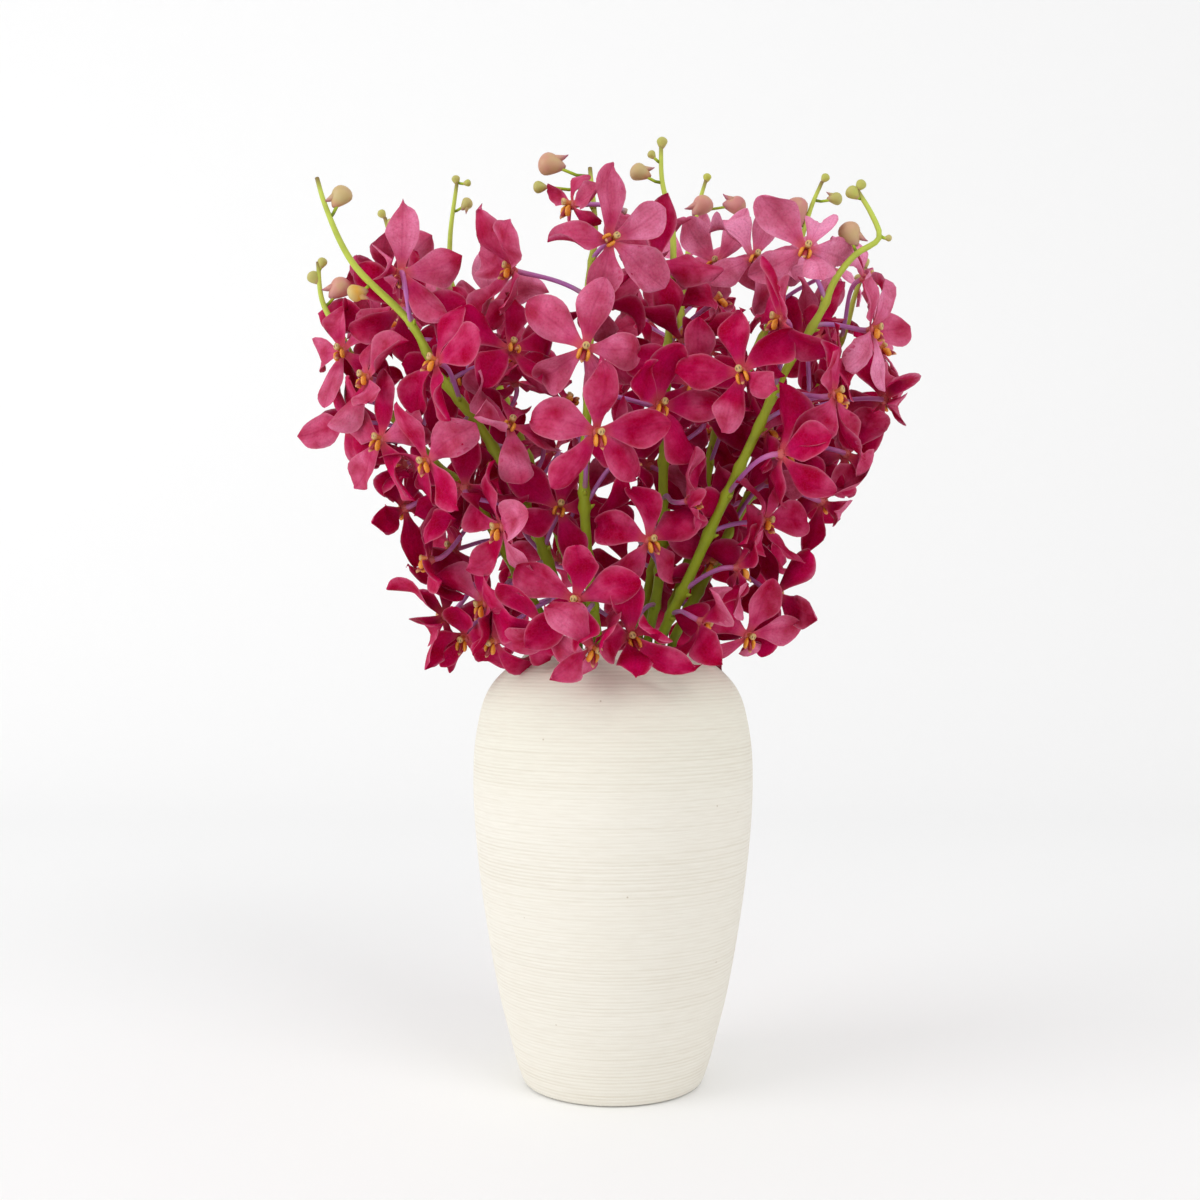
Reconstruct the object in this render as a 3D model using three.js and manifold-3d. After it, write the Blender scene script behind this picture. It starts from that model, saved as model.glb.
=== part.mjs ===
// Mokara orchid in vase: ten cut flowering sprays in a round cream ceramic vase.
// Millimetres, +Z up, origin at the centre of the vase's foot. The viewer of the photo
// stands at -Y, so +X is the photo's right and -Y is nearer to the viewer.

import * as THREE from 'three';
import { mergeVertices } from 'three/addons/utils/BufferGeometryUtils.js';
import ManifoldModule from 'manifold-3d';

const kernel = await ManifoldModule();
kernel.setup();
const { Manifold, Mesh } = kernel;

// Where the photo was taken from: it turns photo pixels at a chosen depth into millimetres.
const EYE = { x: -7.5, y: -783, z: 250 };
const PHOTO_FOCAL = 1350;
const PHOTO_MIDDLE_X = 600;
const PHOTO_HORIZON_Y = 647;

// The vase, outside: height above the foot and radius, read off the photo's outline.
const VASE_OUTSIDE = [
  [0, 48.6], [1.3, 51.3], [4, 52.8], [14, 56.2], [30, 60.4], [48, 65], [68, 69], [90, 72.7],
  [112, 75.9], [134, 78.4], [154, 80], [174, 80.6], [192, 80], [208, 77.6], [220, 74.5],
  [228, 70.4], [235, 64.4], [240.5, 57.6], [243.4, 53.4], [246.4, 50.7],
];
const VASE_LIP = [[248.4, 49.6], [249, 48.2], [248, 46.6]];
const VASE_INSIDE = [
  [243, 46], [236, 56], [222, 68], [190, 75.2], [140, 74], [80, 66], [24, 53.4], [8, 47.5],
];
const VASE_FLOOR_TOP = 6;
const VASE_FLOOR_RADIUS = 42;
const VASE_SIDES = 30;

// The water stands a little over half way up the vase.
const WATER_TOP = 150;
const WATER_SIDES = 16;
const WATER_WALL_GAP = 1.4;
const STEM_HOLE_FROM = -0.06;
const STEM_HOLE_TO = 0.72;
const FREE_GAP = 0.35;

// Stems: where each foot stands, and how thick the stem is from foot to tip.
const STEM_SIDES = 5;
const STEM_FOOT_RADIUS = 3;
const STEM_NECK_RADIUS = 2.7;
const STEM_TIP_RADIUS = 0.9;
const STEM_FOOT_TURN = 110;
const STEM_FOOT_SPREAD = 1.12;
const STEM_RINGS_IN_VASE = 1;
const STEM_RINGS_ABOVE = 10;
const STALK_ROOT_STEP = 0.01;

// One open flower: five petals round a small hub, a lip and column in front.
const PETAL_LENGTH = 28.4;
const PETAL_HALF_WIDTH = 9.6;
const PETAL_THICKNESS = 1.5;
const PETAL_ANGLES = [0, 70, 142, 218, 290];
const PETAL_SHOULDER = 0.54;
const PETAL_MIDDLE = 0.46;
const PETAL_TIP_HALF_WIDTH = 4.6;
const PETAL_STEPS = 12;
const PETAL_ROOT = 0.8;
const PETAL_OPENS = 0.6;
const HUB_RADIUS = 3.6;
const HUB_FRONT = 1.6;
const HUB_BACK = -2.6;
const LIP_REACH = 9;
const LIP_TIP_BELOW = 4.5;
const LIP_ROOT_BELOW = 0.4;
const LIP_HALF_WIDTH = 2.4;
const LIP_HALF_HEIGHT = 2.2;
const PEDICEL_RADIUS = 1.15;
const PEDICEL_LENGTHS = [34, 29, 39];
const STALK_PIECES = 2;
const STALK_SIDES = 3;
const STALK_OUT = 0.35;
const STALK_UP = 0.12;
const STALK_INTO_HUB = 0.3;

// A closed bud: places along it and radii there, both as shares of its greatest radius.
const BUD_PLACES = [0, 1, 2.2];
const BUD_WIDTHS = [0.4, 1.1, 0.4];
const BUD_BELOW_MIDDLE = 1.1;
const BUD_STALK_RADIUS = 0.9;
const BUD_SIDES = 4;
const BUD_LOWEST_SHARE = 0.6;
const BUD_SHORTEST_STALK = 1.5;
const BUD_ROOT_STEP = 0.02;
const BUD_LIFT = 2;

// How a petal grows, in degrees: its first rise from the hub, its last rise at the tip, its
// twist, its turn round the hub, and how much the whole flower is cupped or thrown back.
// Each is a middle value and a spread.
const PETAL_RISE = [6, 34];
const PETAL_END_RISE = [-8, 96];
const PETAL_TWIST = [0, 56];
const PETAL_TURN = [0, 16];
const FLOWER_CUP = [4, 44];
const CUP_AT_ROOT = 0.5;
const PETAL_LENGTHS = [1, 0.14];

// How a petal can be bent, twisted and shortened further, to the extremes, to find room.
const PETAL_BENDS = [
  [0, 0], [0, -28], [0, 26], [-16, -45], [16, 42], [-10, -70], [22, 66], [-34, -84], [40, 70],
  [-55, -60], [60, 40],
];
const PETAL_TWISTS = [0, 28, -28];
const PETAL_SCALES = [1, 0.84, 0.7, 0.56];
const STUB_LENGTH = 6;
const CLEAR_OF_OTHERS = 0.8;
const CLEAR_OF_OWN = 0.4;
const NEARLY = 0.99;

// The ten sprays, photo left to right. Each course runs from the vase's neck to the tip as
// photo x, photo y and depth in mm. Open is the number of open flowers placed by the rule
// along the stem, between the two shares of its length above the neck.
const SPRAYS = [
  {
    course: [[575, 640, -16], [531, 519, -38], [482, 430, -52], [437, 372, -60], [412, 325, -64],
      [352, 262, -68], [325, 205, -68], [317, 178, -66]],
    open: 8, from: 0.08, to: 0.66, turn: 200,
    buds: [[341, 197, 5.4], [357, 292, 4.6]],
  },
  {
    course: [[556, 642, -4], [466, 490, -12], [441, 469, -12], [380, 400, -10], [340, 335, -8],
      [322, 300, -5], [318, 262, -5]],
    open: 7, from: 0.12, to: 0.74, turn: 150,
    buds: [[322, 263, 2.8], [314, 278, 3.6], [340, 289, 6.2]],
  },
  {
    course: [[578, 640, 12], [530, 520, 30], [490, 430, 40], [453, 352, 44], [432, 309, 46],
      [395, 250, 46], [385, 218, 46]],
    open: 10, from: 0.05, to: 0.8, turn: 120,
    buds: [[381, 216, 2.6], [392, 224, 2.6], [443, 290, 5.2]],
  },
  {
    course: [[598, 640, 24], [545, 500, 58], [505, 400, 78], [487, 360, 84], [465, 305, 90],
      [452, 285, 92], [450, 240, 94], [457, 182, 95]],
    open: 11, from: 0.04, to: 0.76, turn: 90,
    buds: [[456, 180, 2.7], [467, 183, 2.3], [466, 204, 3.8]],
  },
  {
    course: [[598, 640, -31], [590, 584, -42], [584, 478, -58], [589, 380, -66], [588, 290, -66],
      [595, 235, -60], [590, 168, -50]],
    open: 5, from: 0.12, to: 0.68, turn: 300,
    buds: [[551, 165, 6.2], [540, 187, 3.3]],
  },
  {
    course: [[648, 640, -6], [660, 570, -8], [664, 435, -8], [667, 361, -6], [673, 270, -2],
      [672, 225, 0], [662, 180, 2], [661, 143, 2]],
    open: 7, from: 0.16, to: 0.7, turn: 20,
    buds: [[662, 143, 3.1], [652, 155, 2.4], [640, 173, 5.2]],
  },
  {
    course: [[638, 640, 28], [675, 450, 66], [680, 330, 90], [686, 262, 98], [690, 245, 100],
      [700, 200, 104], [706, 180, 105]],
    open: 11, from: 0.04, to: 0.8, turn: 70,
    buds: [[707, 178, 2.7], [703, 208, 6.6], [735, 206, 6.4]],
  },
  {
    course: [[662, 640, 16], [700, 520, 34], [714, 440, 42], [745, 370, 50], [778, 305, 56],
      [795, 260, 60], [812, 205, 62], [822, 182, 62]],
    open: 10, from: 0.04, to: 0.76, turn: 40,
    buds: [[826, 180, 2.7], [835, 199, 4], [797, 212, 8]],
  },
  {
    course: [[659, 640, -20], [688, 580, -32], [715, 520, -42], [755, 435, -54], [783, 375, -60],
      [822, 310, -64], [835, 280, -66], [855, 255, -66], [879, 238, -65], [872, 215, -62],
      [857, 190, -60]],
    open: 3, from: 0.16, to: 0.6, turn: 330,
    buds: [[853, 193, 3.5], [862, 187, 2.8], [850, 234, 5.8], [888, 238, 1.8]],
  },
  {
    course: [[673, 640, 0], [720, 550, 8], [770, 460, 14], [820, 385, 18], [847, 325, 20],
      [855, 295, 22], [866, 268, 24]],
    open: 9, from: 0.08, to: 0.86, turn: 10,
    buds: [[865, 265, 2.8], [858, 280, 2.4]],
  },
];

// Open flowers that the photo shows plainly: spray, hub (photo x, y, depth), the photo y at
// which its stalk leaves the stem, where it faces (degrees to the right of the viewer,
// degrees upward), how far its top petal leans to the right and, where it isn't full grown,
// its size.
const SEEN_FLOWERS = [
  [1, 401, 273, -78, 327, -165, 8, 2], [5, 585, 348, -104, 392, 2, -16, 16],
  [5, 597, 432, -110, 492, 28, -24, -8], [5, 576, 600, -90, 560, -16, -14, 10],
  [6, 632, 637, -80, 605, 8, -8, -20], [6, 692, 384, -52, 420, 14, -16, 6],
  [5, 611, 240, -80, 262, 20, 4, 58], [6, 654, 264, -36, 320, -12, 6, 20],
  [9, 806, 250, -76, 300, 0, 2, 20], [9, 872, 330, -60, 325, 58, -4, 10],
  [9, 838, 398, -46, 424, 120, -6, -10], [2, 381, 440, -54, 455, -40, -2, 8],
  [2, 367, 378, -52, 400, -46, 4, -14], [2, 343, 352, -22, 340, -30, 6, -18],
  [3, 462, 376, -30, 356, 8, 0, -12], [5, 512, 270, -60, 297, -58, 6, 0],
  [1, 501, 527, -80, 505, -64, -16, 14], [2, 430, 560, -36, 515, -96, -6, -24],
  [1, 484, 604, -44, 560, -60, -20, 10], [6, 649, 541, -70, 570, 34, -6, -12],
  [6, 690, 500, -64, 500, 58, 12, 18], [9, 742, 372, -86, 392, -20, -8, -18],
  [8, 754, 258, 20, 275, 16, 6, 24], [9, 738, 568, -50, 593, 104, -4, 0],
  [9, 764, 522, -36, 532, 60, -4, 22], [9, 782, 454, -80, 497, 112, 4, -4],
  [1, 436, 362, -84, 400, -48, 8, 12], [9, 780, 320, -86, 390, -68, 4, 6],
  [2, 348, 422, -14, 432, -44, -4, -22], [2, 405, 508, -18, 486, -140, -4, -24],
  [2, 444, 616, -10, 552, -128, -10, -26], [1, 494, 640, -52, 596, -46, -36, 30],
  [1, 541, 626, -78, 590, -30, -30, -14], [10, 884, 400, 6, 412, 145, 2, 22],
  [10, 822, 502, -8, 486, 140, -6, 30], [10, 776, 594, -16, 560, 132, -10, 22],
  [10, 748, 636, -30, 610, 22, -24, 8], [9, 702, 622, -62, 612, 96, -26, 12],
  [10, 846, 454, 0, 446, 148, -4, 24], [5, 592, 648, -98, 604, 40, -34, 14],
  [5, 572, 205, -66, 224, -60, -10, 10, 0.62], [7, 716, 264, 46, 290, -24, 4, 34],
  [2, 464, 638, -14, 575, -24, -30, 12],
];

// Stems that the photo shows in front of the flowers, each with the photo y of the stretch in
// sight, and how far flowers keep from them.
const STEMS_IN_SIGHT = [[1, 170, 450], [1, 540, 600], [9, 170, 640]];
const SIGHT_ROOM_HUB = 24;
const SIGHT_ROOM_PETAL = 9;

// The edge of the mass of flowers in the photo, clockwise from its left-hand tip.
const BUNCH_EDGE = [
  [290, 372], [322, 345], [322, 306], [350, 292], [350, 262], [378, 248], [384, 220], [412, 222],
  [424, 246], [450, 240], [462, 262], [466, 228], [500, 232], [520, 256], [556, 284], [576, 282],
  [560, 230], [556, 190], [600, 166], [612, 206], [640, 196], [690, 210], [722, 196], [748, 218],
  [772, 200], [810, 200], [846, 220], [862, 258], [886, 272], [906, 345], [898, 384], [920, 405],
  [884, 440], [872, 468], [855, 492], [848, 532], [812, 545], [808, 622], [784, 650], [756, 644],
  [742, 672], [716, 652], [682, 684], [640, 660], [600, 682], [566, 682], [552, 658], [478, 670],
  [450, 666], [424, 634], [402, 588], [392, 556], [372, 512], [364, 462], [314, 442], [312, 410],
  [338, 396], [316, 376],
];
const EDGE_ROOM_PETAL = -5;
const EDGE_ROOM_HUB = 14;

// The flowers placed by rule: each is a golden turn on from the last, moved round and out to
// where it has most room among the hubs and stems already standing.
const GOLDEN_TURN = 137.5;
const ROUND = [0, 30, -30, 60, -60, 90, -90, 125, -125, 160];
const RISES = [20, -8, 48, -34];
const HUB_ROOM = 24;
const HUB_ROOM_ENOUGH = 42;
const STEM_ROOM = 9;
const STEM_ROOM_ENOUGH = 20;
const STEM_ROOM_WORTH = 0.3;
const OUTWARD_WORTH = 9;
const TURN_COST = 0.02;
const LIP_ROOM = 2;
const LOWEST_HUB = 262;
const LOWEST_HUB_BESIDE_VASE = 246;
const BESIDE_VASE = 96;
const START_TURN_SPREAD = 20;
const LEAN_SPREAD = 60;
const SWAY_SPREAD = 2.6;
const DROOP = [0.1, 0.3];
const STALK_PULL = 0.7;
const LIGHT_PULL = 0.8;
const BUNCH_MIDDLE_HEIGHT = 300;
const BUNCH_RISE_SHARE = 0.6;
const SEEN_SEED = 900;
const RULE_SEED = 100;

const VASE_COLOUR = 0xe7e3d2;
const WATER_COLOUR = 0xcfe0dd;
const FLOWER_COLOUR = 0xb02a66;

const UP = new THREE.Vector3(0, 0, 1);
const radians = THREE.MathUtils.degToRad;

// A repeatable draw between 0 and 1, so that every build gives the same bunch.
function drawsFrom(seed) {
  let state = seed >>> 0;
  return () => {
    state = (state + 0x6d2b79f5) >>> 0;
    let t = state;
    t = Math.imul(t ^ (t >>> 15), t | 1);
    t ^= t + Math.imul(t ^ (t >>> 7), t | 61);
    return ((t ^ (t >>> 14)) >>> 0) / 4294967296;
  };
}

// A value drawn evenly from a spread round a middle value.
function drawn([middle, spread], draw) {
  return middle + spread * (draw() - 0.5);
}

function fromPhoto(px, py, depth) {
  const scale = (depth - EYE.y) / PHOTO_FOCAL;
  return new THREE.Vector3(
    EYE.x + (px - PHOTO_MIDDLE_X) * scale,
    depth,
    EYE.z - (py - PHOTO_HORIZON_Y) * scale,
  );
}

function toPhoto(p) {
  const scale = PHOTO_FOCAL / (p.y - EYE.y);
  return [PHOTO_MIDDLE_X + (p.x - EYE.x) * scale, PHOTO_HORIZON_Y - (p.z - EYE.z) * scale];
}

function pixelsToSegment([px, py], [ax, ay], [bx, by]) {
  const lengthSquared = (bx - ax) ** 2 + (by - ay) ** 2;
  const along = ((px - ax) * (bx - ax) + (py - ay) * (by - ay)) / lengthSquared;
  const t = THREE.MathUtils.clamp(along, 0, 1);
  return Math.hypot(px - ax - t * (bx - ax), py - ay - t * (by - ay));
}

// How far inside the bunch's edge a point is seen, in photo pixels; negative outside.
function roomInsideEdge(p) {
  const [px, py] = toPhoto(p);
  let inside = false;
  let nearest = Infinity;
  BUNCH_EDGE.forEach((a, i) => {
    const b = BUNCH_EDGE[(i + 1) % BUNCH_EDGE.length];
    nearest = Math.min(nearest, pixelsToSegment([px, py], a, b));
    if ((a[1] > py) !== (b[1] > py) && px < a[0] + ((b[0] - a[0]) * (py - a[1])) / (b[1] - a[1])) {
      inside = !inside;
    }
  });
  return inside ? nearest : -nearest;
}

// Whether a point stands before a stem that is to stay in sight.
function hidesStem(p, room) {
  const seen = toPhoto(p);
  return STEMS_IN_SIGHT.some(([number, upper, lower]) => {
    const { course } = SPRAYS[number - 1];
    for (let i = 0; i < course.length - 1 && seen[1] > upper && seen[1] < lower; i += 1) {
      const nearer = p.y < Math.max(course[i][2], course[i + 1][2]);
      if (nearer && pixelsToSegment(seen, course[i], course[i + 1]) < room) {
        return true;
      }
    }
    return false;
  });
}

// A closed body from its points and its triangles.
function bodyOf(points, faces) {
  const vertProperties = new Float32Array(points.length * 3);
  points.forEach((p, i) => vertProperties.set([p.x, p.y, p.z], i * 3));
  const triVerts = new Uint32Array(faces.flat());
  return new Manifold(new Mesh({ numProp: 3, vertProperties, triVerts }));
}

function bodyOfGeometry(geometry) {
  const bare = geometry.clone();
  bare.deleteAttribute('normal');
  bare.deleteAttribute('uv');
  const merged = mergeVertices(bare, 1e-4);
  return new Manifold(new Mesh({
    numProp: 3,
    vertProperties: new Float32Array(merged.attributes.position.array),
    triVerts: new Uint32Array(merged.index.array),
  }));
}

function meshOf(name, body, colour, roughness) {
  const data = body.getMesh();
  const geometry = new THREE.BufferGeometry();
  const places = new Float32Array(data.numVert * 3);
  for (let i = 0; i < data.numVert; i += 1) {
    for (let k = 0; k < 3; k += 1) {
      places[i * 3 + k] = data.vertProperties[i * data.numProp + k];
    }
  }
  geometry.setAttribute('position', new THREE.BufferAttribute(places, 3));
  geometry.setIndex(new THREE.BufferAttribute(new Uint32Array(data.triVerts), 1));
  geometry.computeVertexNormals();
  const material = new THREE.MeshStandardMaterial({ color: colour, roughness, metalness: 0 });
  const mesh = new THREE.Mesh(geometry, material);
  mesh.name = name;
  return mesh;
}

// Rings of points round a line, one after another, turning as little as they can.
function ringsAlong(line, radii, sides, firstAcross) {
  const points = [];
  let across = firstAcross;
  line.forEach((p, i) => {
    const before = line[Math.max(i - 1, 0)];
    const after = line[Math.min(i + 1, line.length - 1)];
    const along = after.clone().sub(before).normalize();
    across = across.clone().addScaledVector(along, -across.dot(along));
    if (across.length() < 0.1) {
      across = new THREE.Vector3(0, 1, 0).addScaledVector(along, -along.y);
    }
    across.normalize();
    const other = along.clone().cross(across);
    for (let s = 0; s < sides; s += 1) {
      const a = (s / sides) * 2 * Math.PI;
      points.push(p.clone()
        .addScaledVector(across, radii[i] * Math.cos(a))
        .addScaledVector(other, radii[i] * Math.sin(a)));
    }
  });
  return points;
}

function wallsBetweenRings(first, count, sides) {
  const faces = [];
  for (let i = 0; i < count - 1; i += 1) {
    for (let s = 0; s < sides; s += 1) {
      const a = first + i * sides + s;
      const b = first + i * sides + ((s + 1) % sides);
      faces.push([a, b, b + sides], [a, b + sides, a + sides]);
    }
  }
  return faces;
}

function capOver(first, sides) {
  const faces = [];
  for (let s = 1; s < sides - 1; s += 1) {
    faces.push([first, first + s, first + s + 1]);
  }
  return faces;
}

// A closed round rod along a line of points, with a radius at each point. A stem's foot is
// cut level with the floor it stands on.
function rod(line, radii, sides, cutLevel = false) {
  const points = ringsAlong(line, radii, sides, new THREE.Vector3(1, 0, 0));
  if (cutLevel) {
    points.slice(0, sides).forEach((p) => p.setZ(line[0].z));
  }
  const faces = wallsBetweenRings(0, line.length, sides);
  faces.push(...capOver(0, sides).map(([a, b, c]) => [a, c, b]));
  faces.push(...capOver((line.length - 1) * sides, sides));
  return bodyOf(points, faces);
}

// A bud: a blunt spindle along a direction, with the stalk that carries it.
function bud(stalk, foot, direction, radius) {
  const line = BUD_PLACES.map((t) => foot.clone().addScaledVector(direction, t * radius));
  const radii = BUD_WIDTHS.map((r) => r * radius);
  return rod([...stalk, ...line], [...stalk.map(() => BUD_STALK_RADIUS), ...radii], BUD_SIDES);
}

function lathe(profile, sides) {
  const outline = profile.map(([z, r]) => new THREE.Vector2(r, z));
  const geometry = new THREE.LatheGeometry(outline, sides);
  geometry.rotateX(Math.PI / 2);
  return bodyOfGeometry(geometry);
}

// The three directions of a flower: where it faces, its top and its right-hand side.
function flowerFrame(facing, lean) {
  const front = facing.clone().normalize();
  const top = UP.clone().addScaledVector(front, -front.z).normalize();
  const right = top.clone().cross(front);
  const tilt = radians(lean);
  const leanTop = top.clone().multiplyScalar(Math.cos(tilt)).addScaledVector(right, Math.sin(tilt));
  return { front, top: leanTop, right: leanTop.clone().cross(front) };
}

function inFlower(frame, hub, angle, radius, height) {
  const a = radians(angle);
  return hub.clone()
    .addScaledVector(frame.top, radius * Math.cos(a))
    .addScaledVector(frame.right, radius * Math.sin(a))
    .addScaledVector(frame.front, height);
}

// The points of one petal: its middle line leaves the hub at one rise and ends at another,
// and its width turns about that line toward the tip.
function petalPoints(frame, hub, angle, rise, endRise, twist, length) {
  const a = radians(angle);
  const out = frame.top.clone().multiplyScalar(Math.cos(a)).addScaledVector(frame.right, Math.sin(a));
  const across = out.clone().cross(frame.front);
  const at = (share) => {
    const p = hub.clone().addScaledVector(out, HUB_RADIUS * PETAL_ROOT);
    const count = Math.max(1, Math.round(share * PETAL_STEPS));
    let heading = out;
    for (let i = 0; i < count; i += 1) {
      const e = radians(rise + (endRise - rise) * ((i + 0.5) / PETAL_STEPS));
      heading = out.clone().multiplyScalar(Math.cos(e)).addScaledVector(frame.front, Math.sin(e));
      p.addScaledVector(heading, (length * share) / count);
    }
    const normal = heading.clone().cross(across).negate();
    const w = radians(twist * share);
    const side = across.clone().multiplyScalar(Math.cos(w)).addScaledVector(normal, Math.sin(w));
    return { p, side, normal: side.clone().cross(heading) };
  };
  const shoulder = at(PETAL_SHOULDER);
  const tip = at(1);
  const middle = at(PETAL_MIDDLE);
  const width = PETAL_HALF_WIDTH * (length / PETAL_LENGTH);
  const tipWidth = PETAL_TIP_HALF_WIDTH * (length / PETAL_LENGTH);
  return [
    shoulder.p.clone().addScaledVector(shoulder.side, width),
    tip.p.clone().addScaledVector(tip.side, tipWidth),
    tip.p.clone().addScaledVector(tip.side, -tipWidth),
    shoulder.p.clone().addScaledVector(shoulder.side, -width),
    middle.p.clone().addScaledVector(middle.normal, PETAL_THICKNESS / 2),
    middle.p.clone().addScaledVector(middle.normal, -PETAL_THICKNESS / 2),
  ];
}

// Spots spread over a petal: down its middle and down both of its edges.
function spotsOnPetal(hub, [right, tipRight, tipLeft, left]) {
  const shoulder = right.clone().lerp(left, 0.5);
  const tip = tipRight.clone().lerp(tipLeft, 0.5);
  return [
    hub.clone().lerp(shoulder, 0.5), shoulder, shoulder.clone().lerp(tip, 0.5), tip,
    hub.clone().lerp(right, PETAL_OPENS), right, right.clone().lerp(tipRight, 0.5), tipRight,
    hub.clone().lerp(left, PETAL_OPENS), left, left.clone().lerp(tipLeft, 0.5), tipLeft,
  ];
}

function hubValley(frame, hub, k) {
  const here = PETAL_ANGLES[k];
  const next = k + 1 < PETAL_ANGLES.length ? PETAL_ANGLES[k + 1] : 360;
  return inFlower(frame, hub, (here + next) / 2, HUB_RADIUS, 0);
}

// The blade of one petal alone, and the same with its root in the hub.
function bladeAlone(points) {
  const faces = [[0, 1, 4], [1, 2, 4], [2, 3, 4], [3, 0, 4],
    [1, 0, 5], [2, 1, 5], [3, 2, 5], [0, 3, 5]];
  return bodyOf(points, faces);
}

function bladeWithRoot(points, valleyAfter, valleyBefore, hubFront, hubBack) {
  const all = [...points, valleyAfter, valleyBefore, hubFront, hubBack];
  const faces = [
    [8, 6, 4], [6, 0, 4], [0, 1, 4], [1, 2, 4], [2, 3, 4], [3, 7, 4], [7, 8, 4],
    [6, 9, 5], [0, 6, 5], [1, 0, 5], [2, 1, 5], [3, 2, 5], [7, 3, 5], [9, 7, 5],
    [6, 8, 9], [8, 7, 9],
  ];
  return bodyOf(all, faces);
}

// Triangles between two loops of points round the same axis, given with their angles.
function bridge(outer, inner) {
  const faces = [];
  let i = 0;
  let j = 0;
  while (i < outer.length || j < inner.length) {
    const [outerHere] = outer[i % outer.length];
    const [innerHere] = inner[j % inner.length];
    const outerNext = outer[(i + 1) % outer.length];
    const innerNext = inner[(j + 1) % inner.length];
    const outerAngle = outerNext[1] + (i + 1 >= outer.length ? 360 : 0);
    const innerAngle = innerNext[1] + (j + 1 >= inner.length ? 360 : 0);
    if (j >= inner.length || (i < outer.length && outerAngle <= innerAngle)) {
      faces.push([innerHere, outerNext[0], outerHere]);
      i += 1;
    } else {
      faces.push([innerHere, innerNext[0], outerHere]);
      j += 1;
    }
  }
  return faces;
}

// The whole flower as one closed body: five petals that meet in the hub's valleys, the
// three-sided lip that grows from the hub's front, and the stalk that grows from its back.
function flowerBody(flower) {
  const { frame, hub, valleys, stalk } = flower;
  const points = [...valleys];
  const faces = [];
  const frontLoop = [];
  const backLoop = [];
  flower.petals.forEach((petal, k) => {
    const after = k;
    const before = (k + PETAL_ANGLES.length - 1) % PETAL_ANGLES.length;
    const base = points.length;
    points.push(...petal);
    const [a, t, u, b, front, back] = [0, 1, 2, 3, 4, 5].map((i) => base + i);
    faces.push(
      [after, a, front], [a, t, front], [t, u, front], [u, b, front], [b, before, front],
      [a, after, back], [t, a, back], [u, t, back], [b, u, back], [before, b, back],
    );
    const next = k + 1 < PETAL_ANGLES.length ? PETAL_ANGLES[k + 1] : 360;
    const between = (PETAL_ANGLES[k] + next) / 2;
    frontLoop.push([front, PETAL_ANGLES[k]], [after, between]);
    backLoop.push([back, PETAL_ANGLES[k]], [after, between]);
  });
  const lipRoot = points.length;
  points.push(...lipRings(frame, hub));
  const lipTip = points.length - 1;
  const three = [0, 1, 2];
  faces.push(...bridge(frontLoop, three.map((s) => [lipRoot + s, s * 120])));
  three.forEach((s) => faces.push([lipRoot + ((s + 1) % 3), lipRoot + s, lipTip]));
  const stalkRoot = points.length;
  points.push(...ringsAlong(stalk, stalk.map(() => PEDICEL_RADIUS), STALK_SIDES, frame.top));
  const backFaces = bridge(backLoop, three.map((s) => [stalkRoot + s, s * 120]));
  faces.push(...backFaces.map(([a, b, c]) => [a, c, b]));
  faces.push(...wallsBetweenRings(stalkRoot, stalk.length, STALK_SIDES));
  faces.push(...capOver(stalkRoot + (stalk.length - 1) * STALK_SIDES, STALK_SIDES));
  return bodyOf(points, faces);
}

// The lip: a ring on the hub's front and a tip, which points down before the flower's mouth.
function lipRings(frame, hub) {
  const ring = [0, 120, 240].map((angle) => {
    const a = radians(angle);
    return inFlower(frame, hub, 180, LIP_ROOT_BELOW, HUB_FRONT)
      .addScaledVector(frame.top, LIP_HALF_HEIGHT * Math.cos(a))
      .addScaledVector(frame.right, LIP_HALF_WIDTH * Math.sin(a));
  });
  return [...ring, inFlower(frame, hub, 180, LIP_TIP_BELOW, LIP_REACH)];
}

function lipAlone(frame, hub) {
  return bodyOf(lipRings(frame, hub), [[0, 1, 2], [1, 0, 3], [2, 1, 3], [0, 2, 3]]);
}

// The stalk of a flower, from the hub back to the stem, which it meets on the way up.
function stalkLine(from, outward, hub, facing, reach) {
  const first = from.clone()
    .addScaledVector(outward, reach * STALK_OUT)
    .addScaledVector(UP, reach * STALK_UP);
  const last = hub.clone().addScaledVector(facing, -reach * STALK_INTO_HUB);
  const end = hub.clone().addScaledVector(facing, HUB_BACK);
  const curve = new THREE.CubicBezierCurve3(end, last, first, from);
  return curve.getPoints(STALK_PIECES);
}

function distanceToLine(p, line) {
  let best = Infinity;
  const segment = new THREE.Line3();
  const near = new THREE.Vector3();
  for (let i = 0; i < line.length - 1; i += 1) {
    segment.set(line[i], line[i + 1]);
    segment.closestPointToPoint(p, true, near);
    best = Math.min(best, near.distanceTo(p));
  }
  return best;
}

// The vase and the water.
const vaseBody = lathe(
  [[0, 0], ...VASE_OUTSIDE, ...VASE_LIP, ...VASE_INSIDE, [VASE_FLOOR_TOP, VASE_FLOOR_RADIUS],
    [VASE_FLOOR_TOP, 0]],
  VASE_SIDES,
);

function insideRadiusAt(z) {
  for (let i = 0; i < VASE_INSIDE.length - 1; i += 1) {
    const [zUpper, rUpper] = VASE_INSIDE[i];
    const [zLower, rLower] = VASE_INSIDE[i + 1];
    if (z <= zUpper && z >= zLower) {
      return rLower + ((rUpper - rLower) * (z - zLower)) / (zUpper - zLower);
    }
  }
  return 0;
}

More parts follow.
